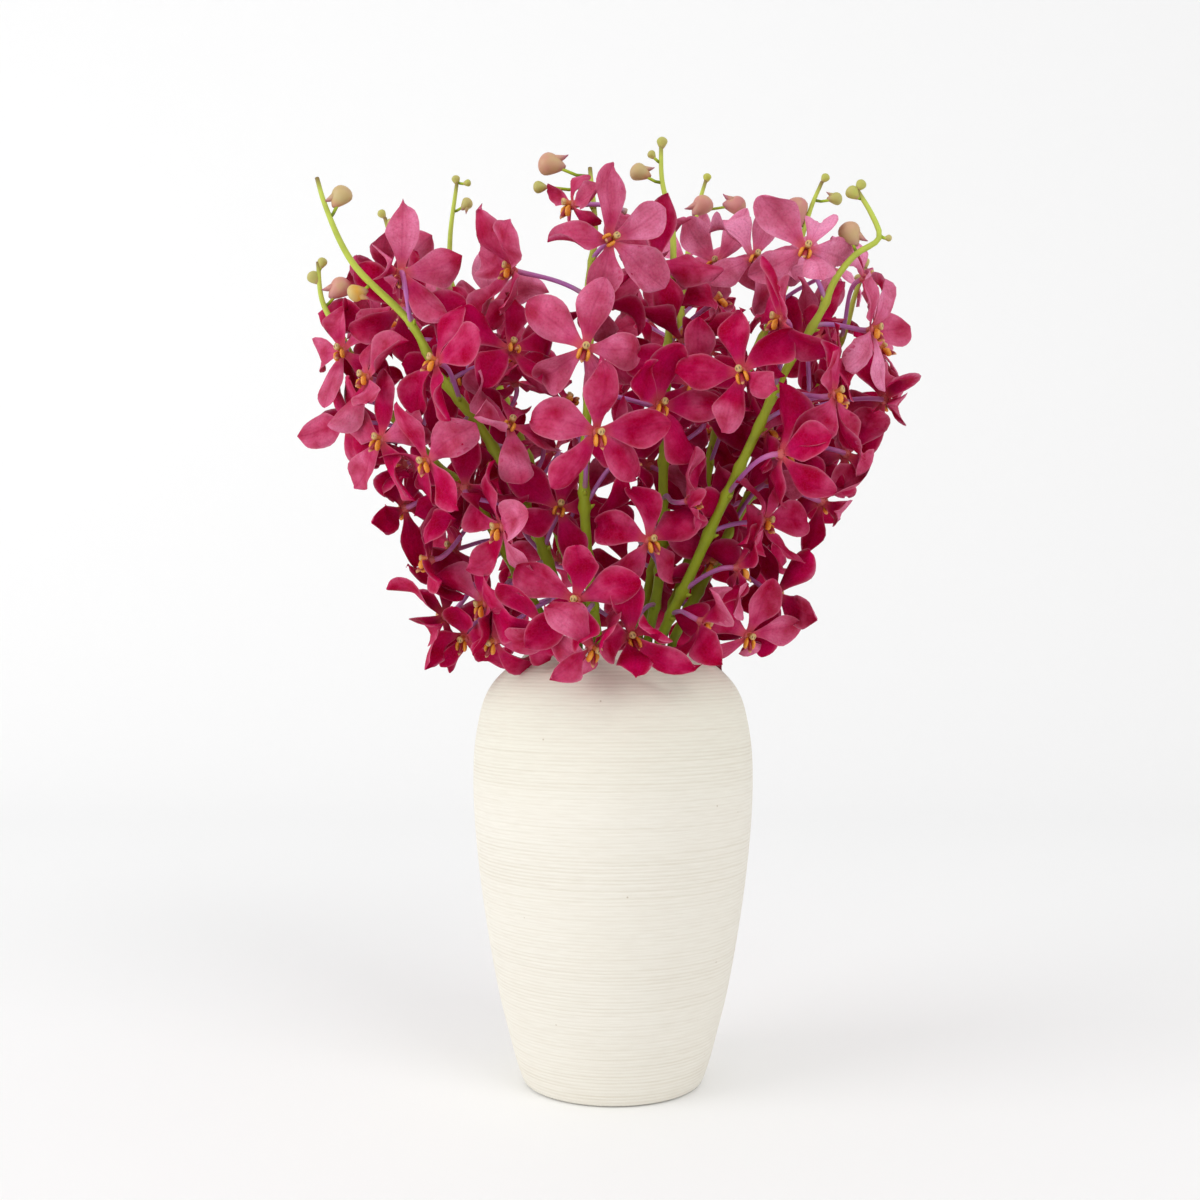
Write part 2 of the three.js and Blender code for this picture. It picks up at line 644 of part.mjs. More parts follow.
const waterWall = VASE_INSIDE.filter(([z]) => z < WATER_TOP).map(([z, r]) => [z, r - WATER_WALL_GAP]);
waterWall.reverse();
const waterFull = lathe(
  [[VASE_FLOOR_TOP + FREE_GAP, 0], [VASE_FLOOR_TOP + FREE_GAP, VASE_FLOOR_RADIUS - 1], ...waterWall,
    [WATER_TOP, insideRadiusAt(WATER_TOP) - WATER_WALL_GAP], [WATER_TOP, 0]],
  WATER_SIDES,
);

// The stems: a smooth line from the foot, through the neck, up the course to the tip.
const stems = SPRAYS.map((spray) => {
  const above = spray.course.map(([px, py, depth]) => fromPhoto(px, py, depth));
  const neck = above[0];
  const turn = radians(STEM_FOOT_TURN);
  const foot = new THREE.Vector3(
    (neck.x * Math.cos(turn) - neck.y * Math.sin(turn)) * STEM_FOOT_SPREAD,
    (neck.x * Math.sin(turn) + neck.y * Math.cos(turn)) * STEM_FOOT_SPREAD,
    VASE_FLOOR_TOP + FREE_GAP,
  );
  const upper = new THREE.CatmullRomCurve3(above, false, 'centripetal');
  const line = [];
  for (let k = 0; k < STEM_RINGS_IN_VASE; k += 1) {
    line.push(foot.clone().lerp(neck, k / STEM_RINGS_IN_VASE));
  }
  line.push(...upper.getSpacedPoints(STEM_RINGS_ABOVE));
  const radii = line.map((p, i) => {
    if (i < STEM_RINGS_IN_VASE) {
      return THREE.MathUtils.lerp(STEM_FOOT_RADIUS, STEM_NECK_RADIUS, i / STEM_RINGS_IN_VASE);
    }
    const share = (i - STEM_RINGS_IN_VASE) / STEM_RINGS_ABOVE;
    return THREE.MathUtils.lerp(STEM_NECK_RADIUS, STEM_TIP_RADIUS, share);
  });
  return { line, radii, body: rod(line, radii, STEM_SIDES, true) };
});

// The point of a stem at a share of its length above the neck, and its direction there.
function onStem(stem, share) {
  const place = share * STEM_RINGS_ABOVE;
  const ring = Math.min(Math.floor(place), STEM_RINGS_ABOVE - 1);
  const here = stem.line[STEM_RINGS_IN_VASE + ring];
  const next = stem.line[STEM_RINGS_IN_VASE + ring + 1];
  return {
    point: here.clone().lerp(next, place - ring),
    along: next.clone().sub(here).normalize(),
  };
}

const stemHoles = stems.map(({ line }) => {
  const [foot, neck] = line;
  const ends = [STEM_HOLE_FROM, STEM_HOLE_TO].map((share) => foot.clone().lerp(neck, share));
  const holeRadius = STEM_FOOT_RADIUS + FREE_GAP * 2;
  return rod(ends, [holeRadius, holeRadius], STEM_SIDES);
});

// Everything already standing, kept with the spray it belongs to (0 for the vase).
const standing = [{ spray: 0, body: vaseBody, box: vaseBody.boundingBox() }];
stems.forEach((stem, i) => {
  standing.push({ spray: i + 1, body: stem.body, box: stem.body.boundingBox() });
});

function stand(spray, owner, body) {
  standing.push({ spray, owner, body, box: body.boundingBox() });
}

function boxesNear(a, b, gap) {
  return [0, 1, 2].every((k) => a.min[k] - gap < b.max[k] && b.min[k] - gap < a.max[k]);
}

// Whether a body keeps its distance from all that stands, leaving out one spray or one flower.
function isClear(body, gap, leaveOut) {
  const box = body.boundingBox();
  return standing.every((other) => {
    if (leaveOut(other) || !boxesNear(box, other.box, gap)) {
      return true;
    }
    return body.minGap(other.body, gap) >= gap * NEARLY;
  });
}

// The way out of the bunch from a point in it.
function outwardAt(p) {
  return new THREE.Vector3(p.x, p.y, (p.z - BUNCH_MIDDLE_HEIGHT) * BUNCH_RISE_SHARE).normalize();
}

const parts = stems.map((stem) => [stem.body]);
const flowers = [];

// Buds first: they stand at the tips, clear of the rest.
SPRAYS.forEach((spray, i) => {
  spray.buds.forEach(([px, py, radius]) => {
    let nearest = null;
    let best = Infinity;
    for (let s = BUD_LOWEST_SHARE; s <= 1; s += BUD_ROOT_STEP) {
      const p = onStem(stems[i], s).point;
      const seen = fromPhoto(px, py, p.y);
      const away = Math.hypot(seen.x - p.x, seen.z - p.z - radius * BUD_BELOW_MIDDLE);
      if (away < best) {
        best = away;
        nearest = p;
      }
    }
    const centre = fromPhoto(px, py, nearest.y);
    const direction = centre.clone().sub(nearest).addScaledVector(UP, BUD_LIFT).normalize();
    const foot = centre.clone().addScaledVector(direction, -radius * BUD_BELOW_MIDDLE);
    const stalk = [nearest];
    if (foot.distanceTo(nearest) < BUD_SHORTEST_STALK) {
      stalk.pop();
      foot.copy(nearest);
    }
    const body = bud(stalk, foot, direction, radius);
    parts[i].push(body);
    stand(i + 1, null, body);
  });
});

function addFlower(spray, from, outward, hub, facing, lean, draw, size = 1) {
  const frame = flowerFrame(facing, lean);
  const reach = from.distanceTo(hub);
  const stalk = stalkLine(from, outward, hub, frame.front, reach);
  const flower = {
    spray,
    frame,
    hub,
    stalk,
    hubFront: inFlower(frame, hub, 0, 0, HUB_FRONT),
    hubBack: inFlower(frame, hub, 0, 0, HUB_BACK),
    valleys: PETAL_ANGLES.map((angle, k) => hubValley(frame, hub, k)),
    petals: [],
    size,
    draw,
  };
  flower.stalkBody = rod(stalk, stalk.map(() => PEDICEL_RADIUS), STALK_SIDES);
  flower.lip = lipAlone(frame, hub);
  return flower;
}

function settleFlower(flower) {
  flowers.push(flower);
  stand(flower.spray, flower, flower.stalkBody);
  stand(flower.spray, flower, flower.lip);
}

// The flowers that the photo shows plainly.
SEEN_FLOWERS.forEach(([spray, px, py, depth, leaves, right, up, lean, size = 1], i) => {
  const draw = drawsFrom(SEEN_SEED + i);
  const stem = stems[spray - 1];
  let from = onStem(stem, 0).point;
  let best = Infinity;
  for (let s = 0; s <= 1; s += STALK_ROOT_STEP) {
    const p = onStem(stem, s).point;
    const away = Math.abs(p.z - fromPhoto(px, leaves, p.y).z);
    if (away < best) {
      best = away;
      from = p;
    }
  }
  const hub = fromPhoto(px, py, depth);
  const a = radians(right);
  const b = radians(up);
  const facing = new THREE.Vector3(Math.sin(a) * Math.cos(b), -Math.cos(a) * Math.cos(b), Math.sin(b));
  const outward = hub.clone().sub(from).normalize();
  settleFlower(addFlower(spray, from, outward, hub, facing, lean, draw, size));
});

// The rest of the flowers, up each stem in steps.
SPRAYS.forEach((spray, i) => {
  for (let n = 0; n < spray.open; n += 1) {
    const draw = drawsFrom(RULE_SEED * (i + 1) + n);
    const share = spray.from + ((spray.to - spray.from) * (n + 0.5)) / spray.open;
    const { point: from, along } = onStem(stems[i], share);
    const side = new THREE.Vector3(1, 0, 0).addScaledVector(along, -along.x).normalize();
    const other = along.clone().cross(side);
    const start = spray.turn + GOLDEN_TURN * n + START_TURN_SPREAD * (draw() - 0.5);
    const lean = LEAN_SPREAD * (draw() - 0.5);
    const droop = DROOP[0] + DROOP[1] * draw();
    const sway = SWAY_SPREAD * (draw() - 0.5);
    const swayOther = SWAY_SPREAD * (draw() - 0.5);
    let choice = null;
    let most = -Infinity;
    ROUND.forEach((round) => RISES.forEach((rise) => PEDICEL_LENGTHS.forEach((length) => {
      const a = radians(start + round);
      const e = radians(rise);
      const outward = side.clone().multiplyScalar(Math.cos(a) * Math.cos(e))
        .addScaledVector(other, Math.sin(a) * Math.cos(e)).addScaledVector(along, Math.sin(e));
      const hub = from.clone().addScaledVector(outward, length);
      const lowest = Math.hypot(hub.x, hub.y) > BESIDE_VASE ? LOWEST_HUB_BESIDE_VASE : LOWEST_HUB;
      if (hub.z < lowest || roomInsideEdge(hub) < EDGE_ROOM_HUB || hidesStem(hub, SIGHT_ROOM_HUB)) {
        return;
      }
      const away = outwardAt(hub);
      const facing = outward.clone().multiplyScalar(STALK_PULL).addScaledVector(away, LIGHT_PULL)
        .addScaledVector(UP, -droop).addScaledVector(side, sway).addScaledVector(other, swayOther)
        .normalize();
      const room = Math.min(...flowers.map((f) => f.hub.distanceTo(hub)));
      const fromStems = Math.min(...stems.map((s) => distanceToLine(hub, s.line)));
      if (room < HUB_ROOM || fromStems < STEM_ROOM) {
        return;
      }
      const worth = Math.min(room, HUB_ROOM_ENOUGH) + OUTWARD_WORTH * outward.dot(away)
        + Math.min(fromStems, STEM_ROOM_ENOUGH) * STEM_ROOM_WORTH - Math.abs(round) * TURN_COST;
      if (worth <= most) {
        return;
      }
      const trial = addFlower(i + 1, from, outward, hub, facing, lean, draw);
      const ownStem = (o) => o.spray === i + 1 && o.owner === undefined;
      if (isClear(trial.stalkBody, CLEAR_OF_OTHERS, ownStem)
        && isClear(trial.lip, LIP_ROOM, () => false)) {
        choice = trial;
        most = worth;
      }
    })));
    if (choice) {
      settleFlower(choice);
    }
  }
});

// The petals: each takes the first of its forms that is clear of all that stands.
flowers.forEach((flower) => {
  const { draw, frame, hub } = flower;
  const cup = drawn(FLOWER_CUP, draw);
  PETAL_ANGLES.forEach((angle, k) => {
    const rise = drawn(PETAL_RISE, draw) + cup * CUP_AT_ROOT;
    const endRise = drawn(PETAL_END_RISE, draw) + cup;
    const twist = drawn(PETAL_TWIST, draw);
    const length = PETAL_LENGTH * flower.size * drawn(PETAL_LENGTHS, draw);
    const offAngle = angle + drawn(PETAL_TURN, draw);
    const after = flower.valleys[k];
    const before = flower.valleys[(k + PETAL_ANGLES.length - 1) % PETAL_ANGLES.length];
    let chosen = null;
    let fallback = null;
    PETAL_SCALES.forEach((scale) => PETAL_BENDS.forEach(([first, last]) => PETAL_TWISTS.forEach((turn) => {
      if (chosen) {
        return;
      }
      const points = petalPoints(frame, hub, offAngle, rise + first, endRise + last, twist + turn,
        length * scale);
      const alone = bladeAlone(points);
      const rooted = bladeWithRoot(points, after, before, flower.hubFront, flower.hubBack);
      const ownParts = [...flower.petals.map(bladeAlone), flower.stalkBody, flower.lip];
      if (!ownParts.every((other) => alone.minGap(other, CLEAR_OF_OWN) >= CLEAR_OF_OWN * NEARLY)) {
        return;
      }
      const own = (o) => o.owner === flower;
      if (!isClear(rooted, CLEAR_OF_OTHERS, own)) {
        return;
      }
      const keepsEdge = points.slice(0, 4).every((p) => roomInsideEdge(p) > EDGE_ROOM_PETAL);
      const keepsSight = !spotsOnPetal(hub, points).some((p) => hidesStem(p, SIGHT_ROOM_PETAL));
      if (keepsEdge && keepsSight) {
        chosen = points;
      } else if (!fallback) {
        fallback = points;
      }
    })));
    chosen = chosen ?? fallback ?? petalPoints(frame, hub, offAngle, rise, endRise, twist, STUB_LENGTH);
    flower.petals.push(chosen);
    stand(flower.spray, flower, bladeWithRoot(chosen, after, before, flower.hubFront, flower.hubBack));
  });
  parts[flower.spray - 1].push(flowerBody(flower));
});

const group = new THREE.Group();
group.name = 'mokara_orchid_in_vase';
group.add(meshOf('vase', vaseBody, VASE_COLOUR, 0.8));
group.add(meshOf('water', waterFull.subtract(Manifold.union(stemHoles)), WATER_COLOUR, 0.1));
SPRAYS.forEach((spray, i) => {
  const name = `spray_${String(i + 1).padStart(2, '0')}`;
  const pieces = Manifold.union(parts[i]).decompose();
  pieces.sort((a, b) => b.volume() - a.volume());
  group.add(meshOf(name, pieces[0], FLOWER_COLOUR, 0.6));
});

export default group;
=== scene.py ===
import math
from functools import partial
import bmesh
import bpy
import numpy as np
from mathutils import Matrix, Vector
from mathutils.bvhtree import BVHTree
from mathutils.kdtree import KDTree


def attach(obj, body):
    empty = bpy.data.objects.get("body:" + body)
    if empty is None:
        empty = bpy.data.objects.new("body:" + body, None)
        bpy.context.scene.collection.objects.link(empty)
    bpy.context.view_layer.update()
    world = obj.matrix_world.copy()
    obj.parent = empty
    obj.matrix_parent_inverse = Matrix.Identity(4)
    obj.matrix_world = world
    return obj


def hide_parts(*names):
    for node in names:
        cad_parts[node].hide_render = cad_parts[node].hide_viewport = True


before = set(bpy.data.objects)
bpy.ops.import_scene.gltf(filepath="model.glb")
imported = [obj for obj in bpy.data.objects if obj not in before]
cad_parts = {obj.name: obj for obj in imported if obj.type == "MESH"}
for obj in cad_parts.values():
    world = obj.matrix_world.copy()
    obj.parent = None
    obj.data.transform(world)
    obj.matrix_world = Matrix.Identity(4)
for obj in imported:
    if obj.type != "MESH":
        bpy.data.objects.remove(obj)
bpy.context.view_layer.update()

# The studio
# A white paper sweep, one very large soft source on the left, a smaller one high in front, and
# the camera level with the vase's rim, where the photo was taken from.
scene = bpy.context.scene
scene.view_settings.view_transform = "Standard"
eye = Vector((-0.0075, -0.783, 0.250))
photo_side, photo_focal, photo_middle, photo_horizon = 1200, 1350.0, 600.0, 647.0
film_width = 36
sweep_half, sweep_front, sweep_bend_from, sweep_bend, sweep_top = 3.0, -2.6, 1.2, 0.8, 3.2
paper_white, paper_grain_scale, paper_grain_bump = (0.93, 0.93, 0.93, 1), 900, 0.02


def put_in_scene(name, data):
    piece = bpy.data.objects.new(name, data)
    scene.collection.objects.link(piece)
    return piece


def mesh_object(name, points, faces, material=None):
    mesh = bpy.data.meshes.new(name)
    mesh.from_pydata([tuple(p) for p in points], [], faces)
    mesh.polygons.foreach_set("use_smooth", [True] * len(mesh.polygons))
    mesh.update()
    if material:
        mesh.materials.append(material)
    return put_in_scene(name, mesh)


def feed(tree, node, values):
    """Gives each named input of a node its value, or joins it to another node's output."""
    for socket, value in dict(values).items():
        if isinstance(value, bpy.types.NodeSocket):
            tree.links.new(value, node.inputs[socket])
        else:
            node.inputs[socket].default_value = value


def add_node(tree, kind, values=(), **settings):
    node = tree.nodes.new(kind)
    for key, value in settings.items():
        setattr(node, key, value)
    feed(tree, node, values)
    return node


def node_material(name):
    """A material, its tree, its shader, and where a point lies on the object."""
    material = bpy.data.materials.new(name)
    material.use_nodes = True
    tree = material.node_tree
    place = add_node(tree, "ShaderNodeTexCoord").outputs["Object"]
    return material, tree, tree.nodes["Principled BSDF"], place


def cloudy(tree, place, scale, detail=2):
    node = add_node(tree, "ShaderNodeTexNoise", {"Vector": place, "Scale": scale, "Detail": detail})
    return node.outputs["Fac"]


def banded(tree, value, start, full, most=1):
    """0 where a value is at its start, rising to the most where it is full."""
    return add_node(tree, "ShaderNodeMapRange", {
        "Value": value, "From Min": start, "From Max": full, "To Max": most}).outputs["Result"]


def relief(tree, height, strength, depth):
    return add_node(tree, "ShaderNodeBump", {
        "Height": height, "Strength": strength, "Distance": depth}).outputs["Normal"]


def mottle_group():
    """A shader group for cloudy colour and grain: a mask of the clouds, which starts and is
    full at given levels, and the clouds as a fine relief."""
    tree = bpy.data.node_groups.new("mottle", "ShaderNodeTree")
    tree.interface.new_socket("Place", in_out="INPUT", socket_type="NodeSocketVector")
    for word in ("Scale", "Detail", "From", "To", "Most", "Bump", "Depth"):
        tree.interface.new_socket(word, in_out="INPUT", socket_type="NodeSocketFloat")
    for word, kind in (("Mask", "Float"), ("Normal", "Vector")):
        tree.interface.new_socket(word, in_out="OUTPUT", socket_type=f"NodeSocket{kind}")
    given = tree.nodes.new("NodeGroupInput").outputs
    clouds = cloudy(tree, given["Place"], given["Scale"], given["Detail"])
    add_node(tree, "NodeGroupOutput", {
        "Mask": banded(tree, clouds, given["From"], given["To"], given["Most"]),
        "Normal": relief(tree, clouds, given["Bump"], given["Depth"])})
    return tree


mottle = mottle_group()


def mottled(tree, place, scale, detail=2, band=(0, 1, 1), bump=(0, 0.001)):
    """The group's mask and normal, for clouds of a scale, a band of levels and a relief."""
    node = add_node(tree, "ShaderNodeGroup", {
        "Place": place, "Scale": scale, "Detail": detail, "From": band[0], "To": band[1],
        "Most": band[2], "Bump": bump[0], "Depth": bump[1]}, node_tree=mottle)
    return node.outputs["Mask"], node.outputs["Normal"]


def soft_light(name, place, aim, width, height, power):
    light = bpy.data.lights.new(name, "AREA")
    light.shape = "RECTANGLE"
    light.size, light.size_y = width, height
    light.energy = power
    lamp = put_in_scene(name, light)
    lamp.location = place
    lamp.rotation_euler = (Vector(aim) - Vector(place)).to_track_quat("-Z", "Y").to_euler()


camera = put_in_scene("photo_camera", bpy.data.cameras.new("photo_camera"))
camera.location = eye
camera.rotation_euler = (math.radians(90), 0, 0)
camera.data.sensor_width = film_width
camera.data.lens = film_width * photo_focal / photo_side
camera.data.shift_y = (photo_horizon - photo_middle) / photo_side
camera.data.clip_start = 0.01
scene.camera = camera

sweep_line = [(sweep_front, 0.0), (sweep_bend_from, 0.0)]
sweep_line += [(sweep_bend_from + sweep_bend * math.sin(a), sweep_bend - sweep_bend * math.cos(a))
               for a in np.linspace(0.1, math.pi / 2, 14)]
sweep_line += [(sweep_bend_from + sweep_bend, sweep_top)]
sweep_points = [(x, y, z) for y, z in sweep_line for x in (-sweep_half, sweep_half)]
sweep_faces = [(2 * i, 2 * i + 1, 2 * i + 3, 2 * i + 2) for i in range(len(sweep_line) - 1)]
paper, paper_tree, paper_shader, paper_place = node_material("white_paper")
_, paper_normal = mottled(paper_tree, paper_place, paper_grain_scale, bump=(paper_grain_bump, 0.001))
feed(paper_tree, paper_shader, {"Base Color": paper_white, "Roughness": 0.9, "Specular IOR Level": 0.0,
                                "Normal": paper_normal})
sweep = mesh_object("paper_sweep", sweep_points, sweep_faces, paper)

world = bpy.data.worlds.new("studio_white")
scene.world = world
world.use_nodes = True
feed(world.node_tree, world.node_tree.nodes["Background"], {"Color": (1, 1, 1, 1), "Strength": 0.8})
soft_light("left_window", (-2.6, -1.2, 1.2), (0, 0, 0.28), 2.0, 2.0, 32)
soft_light("high_front", (1.5, -2.0, 2.2), (0, 0, 0.35), 1.6, 1.2, 18)

# The vase
# One thrown body of cream earthenware, fired matte and left unglazed outside. The potter
# combed it with a toothed rib as it turned, which left fine uneven rings all the way down.
vase_outside = [
    (0, 48.6), (1.3, 51.3), (4, 52.8), (14, 56.2), (30, 60.4), (48, 65), (68, 69), (90, 72.7),
    (112, 75.9), (134, 78.4), (154, 80), (174, 80.6), (192, 80), (208, 77.6), (220, 74.5),
    (228, 70.4), (235, 64.4), (240.5, 57.6), (243.4, 53.4), (246.4, 50.7),
]
vase_lip = [(248.4, 49.6), (249, 48.2), (248, 46.6)]
vase_inside = [(243, 46), (236, 56), (222, 68), (190, 75.2), (140, 74), (80, 66), (24, 53.4), (8, 47.5)]
vase_floor_top, vase_floor_radius = 6, 42
vase_turns, lip_step, inside_step, uncombed_lip_rows = 144, 0.7, 8, 4
comb_row, comb_pitch, comb_from, comb_to = 0.52, 1.95, 3, 244
tooth_depth, tooth_depth_play, tooth_bite, tooth_half, tooth_half_play = 0.1, 0.06, 0.05, 0.35, 0.09
press_swing, press_rate, ring_play, lean_drift = 0.3, 0.11, 0.16, 0.4
ring_lean, ring_ripple, ring_fade, deepest_groove = 0.16, 0.04, 0.28, 0.22
full_turn = 6.28


def between(p, q, start, end, t):
    return p * (end - t) / (end - start) + q * (t - start) / (end - start)


def smooth_through(points, step):
    """Points of a smooth line through the given ones, a step apart."""
    points = [np.array(p, float) for p in points]
    ends = [2 * points[0] - points[1]] + points + [2 * points[-1] - points[-2]]
    line = []
    for i in range(1, len(ends) - 2):
        p0, p1, p2, p3 = ends[i - 1:i + 3]
        knots = [0.0]
        for a, b in ((p0, p1), (p1, p2), (p2, p3)):
            knots.append(knots[-1] + max(np.linalg.norm(b - a), 1e-9) ** 0.5)
        t0, t1, t2, t3 = knots
        count = max(1, int(round(np.linalg.norm(p2 - p1) / step)))
        for k in range(count):
            t = t1 + (t2 - t1) * k / count
            a1, a2, a3 = between(p0, p1, t0, t1, t), between(p1, p2, t1, t2, t), between(p2, p3, t2, t3, t)
            b1, b2 = between(a1, a2, t0, t2, t), between(a2, a3, t1, t3, t)
            line.append(between(b1, b2, t1, t2, t))
    return line + [points[-1]]


def ring_faces(rings, sides, start=0):
    """Faces of a tube of rings of corners."""
    faces = []
    for r in range(rings - 1):
        for s in range(sides):
            a, b = start + r * sides + s, start + r * sides + (s + 1) % sides
            faces.append((a, b, b + sides, a + sides))
    return faces


def closed_ring_faces(rings, sides, start=0):
    """The same, closed by a foot corner and a tip corner that come after the rings."""
    foot, last = start + rings * sides, start + (rings - 1) * sides
    faces = ring_faces(rings, sides, start)
    faces += [(foot, start + (s + 1) % sides, start + s) for s in range(sides)]
    faces += [(foot + 1, last + s, last + (s + 1) % sides) for s in range(sides)]
    return faces


def keep_on(piece, name, values, kind="FLOAT", domain="POINT"):
    """Writes one value for each corner or edge of a piece, for its material to read."""
    layer = piece.data.attributes.new(name, kind, domain)
    values = np.asarray(values, bool if kind == "BOOLEAN" else np.float32)
    layer.data.foreach_set("vector" if kind == "FLOAT_VECTOR" else "value", values.reshape(-1))


def read_value(tree, name, kind="Fac"):
    return add_node(tree, "ShaderNodeAttribute", attribute_name=name).outputs[kind]


def maths(tree, operation, *terms, clamp=False):
    node = add_node(tree, "ShaderNodeMath", enumerate(terms), operation=operation, use_clamp=clamp)
    return node.outputs["Value"]


def mixed(tree, share, under, over):
    """One colour going over to another by a share from 0 to 1."""
    node = add_node(tree, "ShaderNodeMix", {"Factor": share, "A": under, "B": over}, data_type="RGBA")
    return node.outputs["Result"]


wall = smooth_through(vase_outside, comb_row) + smooth_through(vase_lip, lip_step)
inner = smooth_through(vase_inside, inside_step) + [np.array((vase_floor_top, vase_floor_radius))]
profile = np.array(wall + inner)
turn = np.linspace(0, 2 * math.pi, vase_turns, endpoint=False)
height = np.repeat(profile[:, :1], vase_turns, axis=1)
radius = np.repeat(profile[:, 1:], vase_turns, axis=1)
groove = np.zeros_like(radius)
potter = np.random.default_rng(41)
outside_rows = len(wall) - uncombed_lip_rows
lean = 0.0
for n, z in enumerate(np.arange(comb_from, comb_to, comb_pitch)):
    lean += lean_drift * (potter.random() - 0.5)
    z += ring_play * comb_pitch * (potter.random() - 0.5)
    depth = tooth_depth + tooth_depth_play * potter.random() + tooth_bite * potter.random() ** 8
    depth *= 1 + press_swing * math.sin(press_rate * z)
    half = tooth_half + tooth_half_play * potter.random()
    ripple = full_turn * potter.random()
    line_z = z + ring_lean * np.sin(turn + lean) + ring_ripple * np.sin(3 * turn + ripple)
    fade = 1 - ring_fade + ring_fade * np.sin(turn * (1 + n % 3) + ripple)
    cut = np.exp(-(((height[:outside_rows] - line_z) / half) ** 2)) * fade * depth
    groove[:outside_rows] = np.maximum(groove[:outside_rows], cut)
radius = radius - groove
vase_points = np.stack([radius * np.cos(turn), radius * np.sin(turn), height], axis=-1).reshape(-1, 3)
vase_points = np.vstack([vase_points, [(0, 0, 0), (0, 0, vase_floor_top)]]) / 1000

earthenware, clay, clay_shader, clay_place = node_material("cream_earthenware")
clay_patch, clay_grain = cloudy(clay, clay_place, 26, 5), cloudy(clay, clay_place, 1500, 3)
clay_speck = add_node(clay, "ShaderNodeTexVoronoi", {"Vector": clay_place, "Scale": 62})
clay_stretch = add_node(clay, "ShaderNodeMapping", {"Vector": clay_place, "Scale": (0.05, 0.05, 1)})
clay_fine = cloudy(clay, clay_stretch.outputs["Vector"], 1700)
clay_height = add_node(clay, "ShaderNodeSeparateXYZ", {"Vector": clay_place}).outputs["Z"]
comb_shadow = banded(clay, maths(clay, "ADD", read_value(clay, "comb_depth"), clay_fine), 0.4, 1.3, 0.6)
specks = banded(clay, clay_speck.outputs["Distance"], 0.04, 0.02, 0.6)
# Painted shade: the upper vase under the bouquet is painted darker and olive, where the flowers shade it.
neck_painted_shade = banded(clay, clay_height, 0.16, 0.245, 0.6)
colour = mixed(clay, clay_patch, (0.82, 0.785, 0.70, 1), (0.85, 0.825, 0.75, 1))
colour = mixed(clay, neck_painted_shade, colour, (0.78, 0.78, 0.63, 1))
colour = mixed(clay, comb_shadow, colour, (0.66, 0.60, 0.50, 1))
colour = mixed(clay, specks, colour, (0.42, 0.33, 0.22, 1))
clay_relief = relief(clay, maths(clay, "ADD", clay_fine, clay_grain), 0.22, 0.0003)
feed(clay, clay_shader, {"Base Color": colour, "Normal": clay_relief, "Roughness": 0.78,
                         "Specular IOR Level": 0.3})

vase = mesh_object("combed_vase", vase_points, closed_ring_faces(len(profile), vase_turns), earthenware)
keep_on(vase, "comb_depth", np.concatenate([(groove / deepest_groove).reshape(-1), [0, 0]]))
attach(vase, "root")
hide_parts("vase")

# The water
# Tap water a little over half way up the vase, with the cut stems standing in it. Its surface
# is still, with the slightest swell.
water, water_tree, water_shader, water_place = node_material("still_water")
_, water_normal = mottled(water_tree, water_place, 40, bump=(0.1, 0.0005))
feed(water_tree, water_shader, {"Base Color": (0.86, 0.93, 0.9, 1), "Transmission Weight": 1.0,
                                "Roughness": 0.03, "IOR": 1.333, "Normal": water_normal})
for material_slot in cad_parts["water"].material_slots:
    material_slot.material = water

# The open flowers
# Each flower is five waxy crimson petals round a small hub. Where it sits, where it faces
# and how each petal is bent is read from the modelled spray, so the finer petals keep it.
sprays = [f"spray_{n:02d}" for n in range(1, 11)]
lip_ring_wide, lip_ring_low = 0.0024, 0.0004
hub_front, hub_back, hub_radius, root_clear = 0.0016, -0.0026, 0.0036, 0.0042
petal_angles = (0, 70, 142, 218, 290)
mirrored_petals = ((1, 4), (4, 1), (2, 3), (3, 2))
ring_slack, valley_slack, stalk_ring_reach = 2e-5, 3e-5, 0.0014
bend_clear, plain_bend, first_guess, first_reach, guesses = 0.006, 0.014, 0.01, 0.034, 12
stalk_lead, stalk_rise, stalk_back = 0.35, 0.12, 0.3


def joined_corners(node):
    """A modelled spray's corners, each once, and the corners beside each."""
    places = [tuple(vertex.co) for vertex in node.data.vertices]
    number = {place: i for i, place in enumerate(dict.fromkeys(places))}
    corners = [Vector(place) for place in number]
    beside = [set() for _ in corners]
    for polygon in node.data.polygons:
        ring = [number[places[i]] for i in polygon.vertices]
        for a, b in zip(ring, ring[1:] + ring[:1]):
            beside[a].add(b)
            beside[b].add(a)
    return corners, beside


def petal_points(corners, beside, after, before, hub, lip_ring, stalk_ring):
    """A petal's shoulders, tip and root corners, between the valleys on its two sides, or
    nothing where it has grown into its neighbour."""
    if after is None or before is None:
        return None
    both = [i for i in beside[after] & beside[before] if (corners[i] - hub).length > root_clear]
    in_front = [i for i in both if beside[i] & lip_ring]
    at_back = [i for i in both if beside[i] & stalk_ring and i not in in_front]
    if not in_front or not at_back:
        return None
    f, b = in_front[0], at_back[0]
    shared = beside[f] & beside[b]
    one = [i for i in beside[after] & shared if i != before]
    two = [i for i in beside[before] & shared if i != after]
    tip_one = [i for i in beside[one[0]] & shared if i != after] if one else []
    tip_two = [i for i in beside[two[0]] & shared if i != before] if two else []
    tips = (one[0], tip_one[0], tip_two[0], two[0]) if tip_one and tip_two else ()
    return [tips, f, b]


